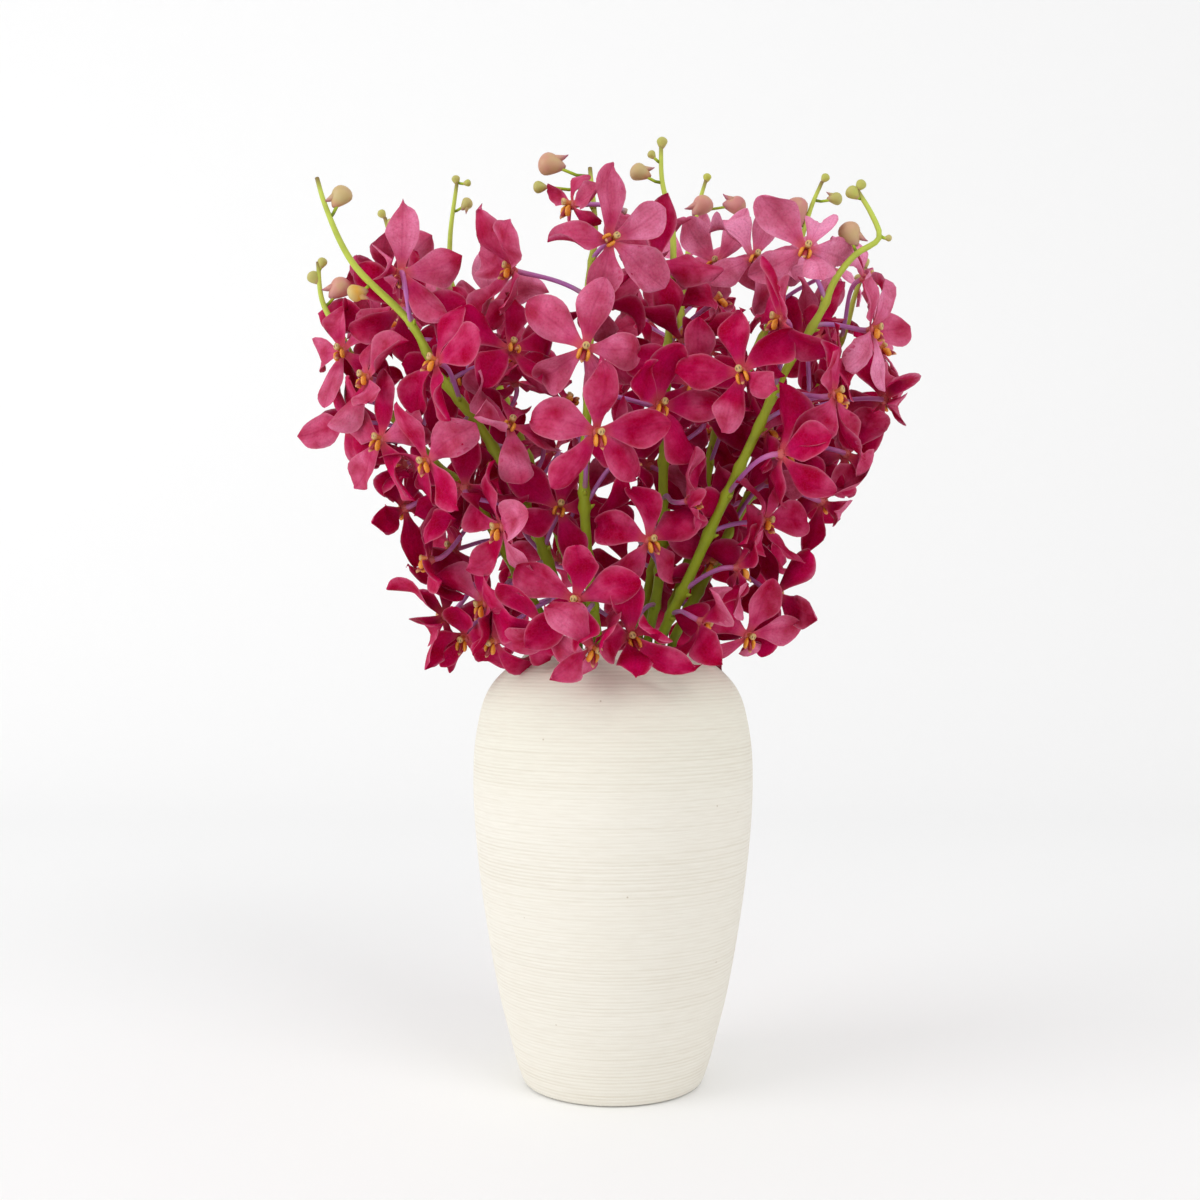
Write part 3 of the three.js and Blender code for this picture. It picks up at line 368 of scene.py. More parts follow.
def flowers_of(node):
    """Every open flower of a modelled spray: its place, its three directions, the six points
    of each petal, and where its stalk leaves the stem. A petal grown into its neighbour is
    taken as the mirror of the one on the flower's other side."""
    corners, beside = joined_corners(node)
    near = KDTree(len(corners))
    for i, corner in enumerate(corners):
        near.insert(corner, i)
    near.balance()
    long_side = 2 * lip_ring_wide * math.sin(math.radians(120))
    found = []
    for tip, ring in enumerate(beside):
        if len(ring) != 3:
            continue
        p, q, r = (corners[i] for i in ring)
        sides = [((q - r).length, p, q, r), ((p - r).length, q, p, r), ((p - q).length, r, p, q)]
        longest, crown, one, two = max(sides, key=lambda s: s[0])
        uneven = abs((crown - one).length - (crown - two).length)
        if abs(longest - long_side) > ring_slack or uneven > ring_slack:
            continue
        centre = (p + q + r) / 3
        top = (crown - centre).normalized()
        right = (one - two).normalized()
        front = right.cross(top)
        if front.dot(corners[tip] - centre) < 0:
            right, front = -right, -front
        hub = centre + top * lip_ring_low - front * hub_front
        root = hub + front * hub_back
        stalk_ring = {i for _, i, _ in near.find_range(root, stalk_ring_reach)}
        valleys = []
        for angle, following in zip(petal_angles, petal_angles[1:] + (360,)):
            a = math.radians((angle + following) / 2)
            place = hub + top * hub_radius * math.cos(a) + right * hub_radius * math.sin(a)
            _, i, distance = near.find(place)
            valleys.append(i if distance < valley_slack else None)
        petals, middles = [], set()
        for k in range(len(petal_angles)):
            read = petal_points(corners, beside, valleys[k], valleys[k - 1], hub, set(ring), stalk_ring)
            if read:
                middles |= set(read[1:])
            petals.append([corners[i] for i in (*read[0], *read[1:])] if read and read[0] else None)
        for k, other in mirrored_petals:
            if petals[k] is None and petals[other] is not None:
                mirror = [p - right * 2 * (p - hub).dot(right) for p in petals[other]]
                petals[k] = mirror[3::-1] + mirror[4:]
        bend = {j for i in stalk_ring for j in beside[i]} - stalk_ring - middles - set(valleys)
        bend = [j for j in bend if (corners[j] - root).length > bend_clear]
        if len(bend) >= 3:
            bend = sum((corners[j] for j in bend), Vector()) / len(bend)
        else:
            bend = root - front * plain_bend
        leaves, reach = bend - front * first_guess, first_reach
        for _ in range(guesses):
            sag = 3 * stalk_back * reach * front - Vector((0, 0, 3 * stalk_rise * reach))
            leaves = (8 * bend - root - 3 * (1 + stalk_lead) * hub + sag) / (4 - 3 * stalk_lead)
            reach = (leaves - hub).length
        found.append({"hub": hub, "front": front, "top": top, "right": right, "petals": petals,
                      "stalk": (root, leaves, reach)})
    return found


petal_rows = np.array((-0.06, 0.07, 0.2, 0.32, 0.45, 0.57, 0.69, 0.81, 0.9, 0.99, 1.055, 1.105, 1.135, 1.15))
petal_columns = np.array((-1.0, -0.72, -0.38, 0.0, 0.38, 0.72, 1.0))
petal_root, petal_shoulder, petal_widest, petal_end, petal_step = 0.8, 0.54, 0.68, 1.15, 0.02
claw_width, petal_width, sepal_width = 0.2, 1.06, 0.95
round_end, pointed_end = 0.55, 0.7
sepal, side_petal = (sepal_width, pointed_end), (petal_width, round_end)
petal_outlines = (sepal, side_petal, sepal, sepal, side_petal)
petal_thickness, rim_thinning, tip_thinning = 0.0009, 0.5, 0.4
midrib_groove, midrib_width = 0.00035, 0.25
least_and_most = {"cup": (-0.6, 0.9), "roll": (-0.42, 0.28), "curl": (-3.224, 1.976), "wave": (0.08, 0.32),
                  "phase": (0, full_turn), "waves": (5, 9), "skew": (-0.15, 0.15), "bow": (-0.2, 0.2),
                  "twist": (-0.6, 0.6)}
cup_level, wave_slant, roll_from, roll_gain, curl_from = 0.3, 2.2, 0.45, 3, 0.55


def petal_layout():
    """Row, column and layer of every corner of a petal, and its faces, the tip last."""
    number, layout, faces = {}, [], []
    rows, columns = len(petal_rows), len(petal_columns)
    for layer in (0, 1):
        for r in range(rows - 1):
            for c in range(columns):
                rim = r == 0 or c in (0, columns - 1)
                if not (rim and layer):
                    number[r, c, layer] = number[r, c, 1] = len(layout)
                    layout.append((r, c, 0.5 if rim else layer))
    number.update({(rows - 1, c, layer): len(layout) for c in range(columns) for layer in (0, 1)})
    layout.append((rows - 1, columns // 2, 0.5))
    for layer in (0, 1):
        for r in range(rows - 1):
            for c in range(columns - 1):
                ring = [number[r, c, layer], number[r, c + 1, layer],
                        number[r + 1, c + 1, layer], number[r + 1, c, layer]]
                ring = [v for i, v in enumerate(ring) if v != ring[i - 1]]
                faces.append(ring[::-1] if layer else ring)
    return np.array(layout), faces


corner_layout, petal_faces = petal_layout()
corner_row, corner_column = corner_layout[:, 0].astype(int), corner_layout[:, 1].astype(int)
corner_side = corner_layout[:, 2]
corner_places = np.stack([petal_columns[corner_column], petal_rows[corner_row], corner_side], axis=1)


def unit(rows):
    return rows / np.linalg.norm(rows, axis=-1, keepdims=True)


def through(s, root, shoulder, tip):
    """The smooth line through a petal's root, shoulder and tip, or its course of directions."""
    at = petal_shoulder
    return (root * (s - at) * (s - 1) / at + shoulder * s * (s - 1) / (at * (at - 1))
            + tip * s * (s - at) / (1 - at))


def petal_surface(flower, points, angle, outline, draw):
    """The corners of a closed waxy petal through the modelled one's root, shoulders and tip,
    its middle line and the way that line faces."""
    one, tip_one, tip_two, two, f, b = (np.array(p) for p in points)
    hub, front, top, right = (np.array(flower[word]) for word in ("hub", "front", "top", "right"))
    shoulder, tip = (one + two) / 2, (tip_one + tip_two) / 2
    out = (f + b) / 2 - hub
    out -= front * out.dot(front)
    guess = math.cos(math.radians(angle)) * top + math.sin(math.radians(angle)) * right
    out = unit(out) * (1 if out.dot(guess) > 0 else -1)
    root = hub + out * hub_radius * petal_root
    half = np.linalg.norm(one - two) / 2
    wide, end = outline
    s, w = petal_rows[:, None], petal_columns[None, :]
    opening = np.clip((s - petal_rows[0]) / (petal_widest - petal_rows[0]), 0, 1)
    closing = np.clip((s - petal_widest) / (petal_end - petal_widest), 0, 1)
    full = (claw_width + (wide - claw_width) * (3 - 2 * opening) * opening ** 2) * (1 - closing ** 2) ** end
    centre = through(s, root, shoulder, tip)
    ahead = unit(through(s + petal_step, root, shoulder, tip) - through(s - petal_step, root, shoulder, tip))
    side = through(s, np.cross(out, front), unit(one - two), unit(tip_one - tip_two))
    side = unit(side - ahead * (side * ahead).sum(axis=1, keepdims=True))
    up = np.cross(side, ahead)
    cup, roll, curl, wave, phase, waves, skew, bow, twist = (
        least + (most - least) * draw.random() for least, most in least_and_most.values())
    lift = cup * full * (w * w - cup_level) * np.clip(1.4 * s + 0.1, 0, 1)
    lift = lift + wave * np.sin(waves * s + wave_slant * w + phase) * np.abs(w) * full
    lift = lift + roll * full * np.clip(np.abs(w) - roll_from, 0, 1) ** 2 * roll_gain
    lift = lift + curl * np.clip(s - curl_from, 0, 1) ** 2 * (1.2 - 0.5 * w * w)
    lift = lift + twist * w * full * np.clip(s, 0, 1) ** 2
    lift = lift * half - midrib_groove * np.exp(-(w / midrib_width) ** 2)
    reach = half * full * w * (1 + skew * w * (s - 0.5))
    sway = bow * half * np.sin(math.pi * np.clip(s, 0, 1))
    surface = centre[:, None] + side[:, None] * (reach + sway)[..., None] + up[:, None] * lift[..., None]
    thick = petal_thickness / 2 * (1 - rim_thinning * w * w) * (1.1 - tip_thinning * s)
    sign = np.where(corner_side == 0.5, 0, 1 - 2 * corner_side)
    thick = thick[corner_row, corner_column] * sign
    corners = surface[corner_row, corner_column] + up[corner_row] * thick[:, None]
    return corners, centre, up


crimson, petal_tree, petal_shader, on_petal = node_material("crimson_petal")
petal_mix = partial(mixed, petal_tree)
times, plus, minus, power, size_of, sine = (partial(maths, petal_tree, word) for word in (
    "MULTIPLY", "ADD", "SUBTRACT", "POWER", "ABSOLUTE", "SINE"))
petal_place = read_value(petal_tree, "petal_place", "Vector")
across, along, _ = add_node(petal_tree, "ShaderNodeSeparateXYZ", {"Vector": petal_place}).outputs
clouds, flecks, grains = (cloudy(petal_tree, on_petal, *size) for size in ((90, 3), (1100, 4), (850, 5)))
cells = add_node(petal_tree, "ShaderNodeTexVoronoi", {"Vector": on_petal, "Scale": 480},
                 feature="DISTANCE_TO_EDGE").outputs["Distance"]


def over_level(value, level, gain):
    """0 up to a level, then rising to 1."""
    return times(minus(value, level, clamp=True), gain, clamp=True)


def fading(value, rate):
    """1 where a value is 0, falling to 0 at a rate."""
    return minus(1, times(value, rate), clamp=True)


off_middle = size_of(across)
vein = times(power(size_of(sine(plus(times(across, 13), times(clouds, 9)))), 5), flecks)
hollows = times(minus(0.5, grains, clamp=True), 5, clamp=True)
pale_edge = times(power(off_middle, 2.2), 0.16)
patchy = times(minus(clouds, 0.5), 0.7)
# The tone holds each petal's painted light and shade from its openness, with its paler edge and random
# paleness.
tone_and_painted_light = plus(plus(pale_edge, patchy), read_value(petal_tree, "petal_tone"), clamp=True)
tone_and_painted_light = times(power(tone_and_painted_light, 1.5), 1.6, clamp=True)
colour = petal_mix(over_level(clouds, 0.32, 2.8), (0.33, 0.0001, 0.019, 1), (0.485, 0.0012, 0.074, 1))
colour = petal_mix(tone_and_painted_light, colour, (0.85, 0.32, 0.51, 1))
for mask, strength, shade in (
        (over_level(flecks, 0.45, 4), 0.22, (0.62, 0.010, 0.15, 1)),
        (hollows, 0.22, (0.18, 0.0004, 0.012, 1)),
        (fading(cells, 6), 0.1, (0.64, 0.04, 0.19, 1)),
        (vein, 0.14, (0.24, 0.001, 0.03, 1)),
        (fading(off_middle, 9), 0.2, (0.24, 0.001, 0.04, 1)),
        (fading(along, 2.2), 0.45, (0.52, 0.03, 0.16, 1)),
        (power(off_middle, 14), 0.6, (0.68, 0.2, 0.30, 1)),
        (power(fading(along, 4.5), 1.3), 0.5, (0.66, 0.14, 0.10, 1))):
    colour = petal_mix(times(mask, strength), colour, shade)
petal_relief = relief(petal_tree, plus(times(vein, -0.7), flecks), 0.3, 0.0004)
feed(petal_tree, petal_shader, {
    "Base Color": colour, "Normal": petal_relief, "Roughness": 0.46, "Specular IOR Level": 0.01,
    "Subsurface Weight": 0.08, "Subsurface Radius": (1.0, 0.15, 0.3), "Subsurface Scale": 0.003})

flowers = {name: flowers_of(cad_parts[name]) for name in sprays}
bunch_corners, bunch_faces = [], []
for name in sprays:
    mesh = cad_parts[name].data
    bunch_faces += [[len(bunch_corners) + i for i in polygon.vertices] for polygon in mesh.polygons]
    bunch_corners += [vertex.co.copy() for vertex in mesh.vertices]
bunch = BVHTree.FromPolygons(bunch_corners, bunch_faces)
way_count, way_top, way_turn, way_reach, way_slant, off_petal = 40, 0.97, 2.4, 0.12, 0.15, 0.0016
ways_out = []
for i, z in enumerate(np.linspace(-way_top, way_top, way_count)):
    flat = math.sqrt(1 - z * z)
    ways_out.append(Vector((flat * math.cos(way_turn * i), flat * math.sin(way_turn * i), z)))
sample_rows = [2, 6, 10]
# Painted light and shade: a petal side that the bunch leaves open is made paler, one that other petals close
# in is made deeper.
painted_light_gain, painted_light_middle, deepest_tone = 0.5, 0.68, -0.09
paling_from_height, paling_height_rise, upper_paling, upper_paling_play = 0.42, 0.08, 0.15, 0.62
faded_flower, faded_petal = 0.24, 0.36


def openness(place, away):
    """The share of the ways out from one side of a petal that nothing in the bunch stops."""
    start = place + away * off_petal
    tried = [way for way in ways_out if way.dot(away) > way_slant]
    return sum(bunch.ray_cast(start, way, way_reach)[0] is None for way in tried) / len(tried)


def light_on(middle, facing):
    """The openness at each corner of a petal, on its own side, for the painted light and shade in the petal's
    tone.
    """
    sides = []
    for way in (1, -1):
        samples = [openness(Vector(middle[r]), Vector(facing[r]) * way) for r in sample_rows]
        sides.append(np.interp(petal_rows[corner_row], petal_rows[sample_rows], samples))
    return sides[0] * (1 - corner_side) + sides[1] * corner_side


for name in sprays:
    corners, faces, tones_and_painted_light = [], [], []
    grower = np.random.default_rng(700 + sprays.index(name))
    for flower in flowers[name]:
        # Flowers higher in the bunch get a paler tone, the highest most.
        upper_share = min(1, max(0, (flower["hub"].z - paling_from_height) / paling_height_rise))
        flower_tone = upper_share * (upper_paling + upper_paling_play * grower.random())
        flower_tone += faded_flower * grower.random() ** 4 + deepest_tone
        for angle, outline, points in zip(petal_angles, petal_outlines, flower["petals"]):
            faces += [[len(tones_and_painted_light) + i for i in ring] for ring in petal_faces]
            surface, middle, facing = petal_surface(flower, points, angle, outline, grower)
            corners.append(surface)
            petal_tone = flower_tone + faded_petal * grower.random() ** 4
            # Painted light and shade: the tone is raised where the petal side is open and lowered where it is
            # closed in.
            tones_and_painted_light += list(petal_tone + painted_light_gain * (light_on(middle, facing) - painted_light_middle))
    petals = mesh_object(f"{name}_petals", np.concatenate(corners), faces, crimson)
    places = np.tile(corner_places, (len(corners), 1))
    keep_on(petals, "petal_place", places, "FLOAT_VECTOR")
    keep_on(petals, "petal_tone", tones_and_painted_light)
    ends = np.array([tuple(edge.vertices) for edge in petals.data.edges])
    keep_on(petals, "sharp_edge", (places[:, 2] == 0.5)[ends].all(axis=1), "BOOLEAN", "EDGE")
    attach(petals, "root")
    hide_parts(name)

# Lips and columns
# In the mouth of each flower stands a short cream column with two dark dots on its cap. Two
# orange side lobes hold it, and a maroon tongue hangs down before it.
throat_zone, column_zone, lobe_zone, tongue_zone = 0, 1, 2, 3
zone_colours = ((0.0, (0.60, 0.11, 0.11, 1)), (0.2, (0.62, 0.22, 0.06, 1)), (0.5, (0.80, 0.31, 0.02, 1)),
                (0.85, (0.31, 0.006, 0.022, 1)))
lip_size, along_front = 0.92, (0, 1, 0)
dot_place, dot_shape = (0.85, 1.9, 6.1), (2.3, 1.1, 1.2)
lip_corners, lip_faces, lip_zone = [], [], []


def add_to_lip(zone, sides, foot, tip, centres, radii_x, radii_y, ways_up):
    """Adds a closed body of oval rings along a line, in mm in the flower's own directions."""
    faces = closed_ring_faces(len(centres), sides, len(lip_corners))
    for centre, rx, ry, up in zip(centres, radii_x, radii_y, ways_up):
        for s in range(sides):
            a = 2 * math.pi * s / sides
            across = Vector((rx * math.cos(a), 0, 0))
            lip_corners.append(Vector(centre) + across + Vector(up) * ry * math.sin(a))
    lip_corners.extend([Vector(foot), Vector(tip)])
    lip_faces.extend(faces)
    lip_zone.extend([zone] * (len(lip_corners) - len(lip_zone)))


add_to_lip(throat_zone, 10, (0, 0, -4.0), (0, 0, 1.8), [(0, 0, z) for z in (-3.6, -2.2, -0.8, 0.6, 1.5)],
           (1.5, 2.1, 2.9, 2.9, 2.0), (1.5, 2.1, 2.9, 2.9, 2.0), [along_front] * 5)
add_to_lip(column_zone, 10, (0, 0.8, 0.8), (0, 1.8, 6.5),
           [(0, 0.8, 0.8), (0, 1.2, 2.4), (0, 1.6, 4.0), (0, 1.9, 5.2), (0, 1.9, 6.0), (0, 1.8, 6.4)],
           (2.0, 1.6, 1.8, 2.1, 2.0, 1.3), (1.8, 1.5, 1.8, 2.2, 2.1, 1.5), [along_front] * 6)
add_to_lip(tongue_zone, 8, (0, -1.0, 1.2), (0, -7.8, 8.6),
           [(0, -1.0, 1.2), (0, -2.6, 3.0), (0, -4.2, 5.0), (0, -5.7, 6.8), (0, -6.9, 8.0)],
           (1.4, 1.3, 1.2, 1.4, 1.0), (1.5, 1.8, 1.9, 1.5, 0.8),
           [(0, 0.8, 0.6), (0, 0.75, 0.66), (0, 0.7, 0.7), (0, 0.65, 0.75), (0, 0.5, 0.86)])
for hand in (-1, 1):
    add_to_lip(lobe_zone, 8, (hand * 1.4, 0.3, 2.2), (hand * 2.3, -6.5, 4.2),
               [(hand * x, y, z) for x, y, z in ((2.0, -0.6, 3.2), (2.5, -1.8, 4.2), (2.6, -3.8, 4.6),
                                                 (2.5, -5.4, 4.5), (2.4, -6.2, 4.3))],
               (0.8, 1.1, 1.15, 1.1, 0.8), (1.0, 1.7, 2.0, 1.8, 1.2),
               [(0, 0.4, 0.9), (0, 0.2, 1.0), (0, 0.0, 1.0), (0, -0.2, 1.0), (0, -0.2, 1.0)])


def closed_up(piece):
    """Welds and turns the faces of a grown piece outwards."""
    shape = bmesh.new()
    shape.from_mesh(piece.data)
    bmesh.ops.remove_doubles(shape, verts=shape.verts, dist=1e-6)
    bmesh.ops.recalc_face_normals(shape, faces=shape.faces)
    shape.to_mesh(piece.data)
    shape.free()
    piece.data.polygons.foreach_set("use_smooth", [True] * len(piece.data.polygons))
    return piece


def ramp_of(tree, value, stops, interpolation="LINEAR"):
    """A colour for each stretch of a value, from stops of value and colour."""
    node = add_node(tree, "ShaderNodeValToRGB", {"Fac": value})
    ramp = node.color_ramp
    ramp.interpolation = interpolation
    ramp.elements[0].position, ramp.elements[0].color = stops[0]
    ramp.elements[1].position, ramp.elements[1].color = stops[-1]
    for place, shade in stops[1:-1]:
        ramp.elements.new(place).color = shade
    return node.outputs["Color"]


lip_pattern = closed_up(mesh_object("lip_pattern", [p / 1000 for p in lip_corners], lip_faces))
keep_on(lip_pattern, "lip_place", [tuple(p) for p in lip_corners], "FLOAT_VECTOR")
keep_on(lip_pattern, "lip_zone", lip_zone)

lip_finish, lip_tree, lip_shader, _ = node_material("orchid_lip")
lip_maths, lip_band, lip_mix = partial(maths, lip_tree), partial(banded, lip_tree), partial(mixed, lip_tree)
lip_place = read_value(lip_tree, "lip_place", "Vector")
_, lip_up, lip_out = add_node(lip_tree, "ShaderNodeSeparateXYZ", {"Vector": lip_place}).outputs
zone = read_value(lip_tree, "lip_zone")
zone_colour = ramp_of(lip_tree, lip_maths("DIVIDE", zone, tongue_zone), zone_colours, "CONSTANT")
on_column, on_tongue = (lip_maths("COMPARE", zone, which, 0.4) for which in (column_zone, tongue_zone))
column_face = lip_maths("MULTIPLY", lip_band(lip_out, 4.4, 5.2), on_column)
tongue_tip = lip_maths("MULTIPLY", lip_band(lip_up, -5.9, -7.0), on_tongue)
from_dot = add_node(lip_tree, "ShaderNodeVectorMath", {0: lip_place}, operation="ABSOLUTE")
for operation, other in (("SUBTRACT", dot_place), ("MULTIPLY", dot_shape)):
    from_dot = add_node(lip_tree, "ShaderNodeVectorMath", {0: from_dot.outputs["Vector"], 1: other},
                        operation=operation)
from_dot = add_node(lip_tree, "ShaderNodeVectorMath", {0: from_dot.outputs["Vector"]}, operation="LENGTH")
dark_dot = lip_maths("MULTIPLY", lip_band(from_dot.outputs["Value"], 1.3, 0.6), 0.75)
speckle, lip_normal = mottled(lip_tree, lip_place, 1.1, 3, band=(0.5, 0.75, 0.6), bump=(0.25, 0.0003))
colour = lip_mix(column_face, zone_colour, (0.60, 0.42, 0.15, 1))
colour = lip_mix(speckle, colour, (0.50, 0.045, 0.03, 1))
colour = lip_mix(tongue_tip, colour, (0.66, 0.33, 0.13, 1))
colour = lip_mix(dark_dot, colour, (0.025, 0.008, 0.006, 1))
feed(lip_tree, lip_shader, {"Base Color": colour, "Normal": lip_normal, "Roughness": 0.38})


def geometry_tree(name, **inputs):
    """A geometry tree with named inputs, what comes in, the end node and each input's identifier."""
    tree = bpy.data.node_groups.new(name, "GeometryNodeTree")
    keys = {}
    for word, kind in {"Geometry": "Geometry", **inputs}.items():
        socket = tree.interface.new_socket(word, in_out="INPUT", socket_type=f"NodeSocket{kind}")
        keys[word] = socket.identifier
    tree.interface.new_socket("Geometry", in_out="OUTPUT", socket_type="NodeSocketGeometry")
    return tree, tree.nodes.new("NodeGroupInput").outputs, tree.nodes.new("NodeGroupOutput"), keys


def dressed(tree, geometry, finish, end):
    """Ends a tree with Realize Instances and Set Material."""
    real = add_node(tree, "GeometryNodeRealizeInstances", {"Geometry": geometry}).outputs["Geometry"]
    dress = add_node(tree, "GeometryNodeSetMaterial", {"Geometry": real, "Material": finish})
    feed(tree, end, {"Geometry": dress.outputs["Geometry"]})


def set_at_flowers_tree():
    """A tree that sets a pattern at every point, turned to the point's front and top."""
    tree, given, end, keys = geometry_tree(
        "set_at_flowers", Pattern="Object", Size="Float", Finish="Material")
    pattern = add_node(tree, "GeometryNodeObjectInfo", {"Object": given["Pattern"]})
    front, top = (add_node(tree, "GeometryNodeInputNamedAttribute", {"Name": word}, data_type="FLOAT_VECTOR")
                  for word in ("front", "top"))
    turned = add_node(tree, "FunctionNodeAxesToRotation", {
        "Primary Axis": front.outputs["Attribute"], "Secondary Axis": top.outputs["Attribute"]},
        primary_axis="Z", secondary_axis="Y")
    placed = add_node(tree, "GeometryNodeInstanceOnPoints", {
        "Points": given["Geometry"], "Instance": pattern.outputs["Geometry"],
        "Rotation": turned.outputs["Rotation"], "Scale": given["Size"]})
    dressed(tree, placed.outputs["Instances"], given["Finish"], end)
    return tree, keys


def grown_from(piece, tree, values, name):
    """The plain mesh that a node tree makes of an object, in the object's place."""
    modifier = piece.modifiers.new("grow", "NODES")
    modifier.node_group = tree
    for key, value in values.items():
        modifier[key] = value
    bpy.context.view_layer.update()
    ready = piece.evaluated_get(bpy.context.evaluated_depsgraph_get())
    mesh = bpy.data.meshes.new_from_object(ready)
    mesh.name = name
    bpy.data.objects.remove(piece)
    mesh.polygons.foreach_set("use_smooth", [True] * len(mesh.polygons))
    return put_in_scene(name, mesh)


flower_tree, lip_keys = set_at_flowers_tree()
lip_inputs = {lip_keys["Pattern"]: lip_pattern, lip_keys["Size"]: lip_size, lip_keys["Finish"]: lip_finish}
for name in sprays:
    hubs = mesh_object(f"{name}_hubs", [flower["hub"] for flower in flowers[name]], [])
    for word in ("front", "top"):
        keep_on(hubs, word, [tuple(flower[word]) for flower in flowers[name]], "FLOAT_VECTOR")
    lips = grown_from(hubs, flower_tree, lip_inputs, f"{name}_lips")
    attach(lips, "root")
    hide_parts(name)
bpy.data.objects.remove(lip_pattern)

# Stems
# Each spray's stem is one green rod from the vase's floor to its tip, thicker below, swollen a little
# at every joint, with a small bract there. The courses are the part's own, in photo pixels and depth in mm.
stem_courses = [
    [(575, 640, -16), (531, 519, -38), (482, 430, -52), (437, 372, -60), (412, 325, -64),
     (352, 262, -68), (325, 205, -68), (317, 178, -66)],
    [(556, 642, -4), (466, 490, -12), (441, 469, -12), (380, 400, -10), (340, 335, -8),
     (322, 300, -5), (318, 262, -5)],
    [(578, 640, 12), (530, 520, 30), (490, 430, 40), (453, 352, 44), (432, 309, 46),
     (395, 250, 46), (385, 218, 46)],
    [(598, 640, 24), (545, 500, 58), (505, 400, 78), (487, 360, 84), (465, 305, 90),
     (452, 285, 92), (450, 240, 94), (457, 182, 95)],
    [(598, 640, -31), (590, 584, -42), (584, 478, -58), (589, 380, -66), (588, 290, -66),
     (595, 235, -60), (590, 168, -50)],
    [(648, 640, -6), (660, 570, -8), (664, 435, -8), (667, 361, -6), (673, 270, -2),
     (672, 225, 0), (662, 180, 2), (661, 143, 2)],
    [(638, 640, 28), (675, 450, 66), (680, 330, 90), (686, 262, 98), (690, 245, 100),
     (700, 200, 104), (706, 180, 105)],
    [(662, 640, 16), (700, 520, 34), (714, 440, 42), (745, 370, 50), (778, 305, 56),
     (795, 260, 60), (812, 205, 62), (822, 182, 62)],
    [(659, 640, -20), (688, 580, -32), (715, 520, -42), (755, 435, -54), (783, 375, -60),
     (822, 310, -64), (835, 280, -66), (855, 255, -66), (879, 238, -65), (872, 215, -62),
     (857, 190, -60)],
    [(673, 640, 0), (720, 550, 8), (770, 460, 14), (820, 385, 18), (847, 325, 20),
     (855, 295, 22), (866, 268, 24)],
]
stem_step, stem_sides = 4, 12
stem_foot_radius, stem_neck_radius, steps_below_neck = 3.0, 2.7, (0.04, 0.35, 0.7, 0.9)
stem_shares, stem_radii = (0, 0.08, 0.5, 0.85, 1), (2.7, 3.0, 2.5, 1.7, 1.2)
stem_foot_turn, stem_foot_spread, stem_foot_height = math.radians(110), 1.12, 6.35
joint_length, joint_swell = 2.6, 0.36
bract_rings, bract_tip = ((-2.2, 0, 0.6), (-0.6, 0.7, 0.62), (0.6, 1.5, 0.4), (1.6, 2.1, 0)), 0.08
stem_colours = ((0.35, (0.165, 0.225, 0.011, 1)), (0.5, (0.31, 0.425, 0.016, 1)),
                (0.75, (0.42, 0.54, 0.035, 1)), (0.985, (0.50, 0.58, 0.09, 1)), (1.0, (0.22, 0.13, 0.05, 1)))


def from_photo(px, py, depth):
    """A point in mm from a photo pixel and a depth in mm."""
    scale = (depth - eye.y * 1000) / photo_focal
    return np.array((eye.x * 1000 + (px - photo_middle) * scale, depth,
                     eye.z * 1000 - (py - photo_horizon) * scale))


def stem_line(course):
    """The stem's line above the neck in mm, and the point where it stands."""
    line = smooth_through([from_photo(*point) for point in course], stem_step)
    neck = line[0]
    c, s = math.cos(stem_foot_turn), math.sin(stem_foot_turn)
    foot = np.array(((neck[0] * c - neck[1] * s) * stem_foot_spread,
                     (neck[0] * s + neck[1] * c) * stem_foot_spread, stem_foot_height))
    return line, foot


def rod_along_line_tree():
    """A tree that makes a closed round rod of each line, as thick as the line's radius says,
    and keeps the share of the length at every corner as 'along'."""
    tree, given, end, keys = geometry_tree("rod_along_line", Sides="Int", Finish="Material")
    share = add_node(tree, "GeometryNodeSplineParameter").outputs["Factor"]
    kept = add_node(tree, "GeometryNodeStoreNamedAttribute", {
        "Geometry": given["Geometry"], "Name": "along", "Value": share}, data_type="FLOAT", domain="POINT")
    ring = add_node(tree, "GeometryNodeCurvePrimitiveCircle", {"Radius": 1.0, "Resolution": given["Sides"]})
    skin = add_node(tree, "GeometryNodeCurveToMesh", {
        "Curve": kept.outputs["Geometry"], "Profile Curve": ring.outputs["Curve"], "Fill Caps": True,
        "Scale": add_node(tree, "GeometryNodeInputRadius").outputs["Radius"]})
    dressed(tree, skin.outputs["Mesh"], given["Finish"], end)
    return tree, keys


rod_tree, rod_keys = rod_along_line_tree()


def rods_along(name, lines, sides, finish):
    """One closed mesh of a round rod along each line of (point, radius) in metres."""
    curve = bpy.data.curves.new(f"{name}_lines", "CURVE")
    curve.dimensions = "3D"
    for line in lines:
        spline = curve.splines.new("POLY")
        spline.points.add(len(line) - 1)
        for point, (place, thickness) in zip(spline.points, line):
            point.co = (*place, 1)
            point.radius = thickness
    inputs = {rod_keys["Sides"]: sides, rod_keys["Finish"]: finish}
    return closed_up(grown_from(put_in_scene(f"{name}_lines", curve), rod_tree, inputs, name))


stem_green, stem_tree, stem_shader, on_stem = node_material("orchid_stem_green")
stem_ramp = ramp_of(stem_tree, read_value(stem_tree, "along"), stem_colours)
stem_mottle, stem_normal = mottled(stem_tree, on_stem, 90, 4, band=(0.52, 0.8, 0.45), bump=(0.3, 0.0004))
colour = mixed(stem_tree, stem_mottle, stem_ramp, (0.19, 0.19, 0.03, 1))
feed(stem_tree, stem_shader, {"Base Color": colour, "Normal": stem_normal, "Roughness": 0.48,
                              "Specular IOR Level": 0.25})

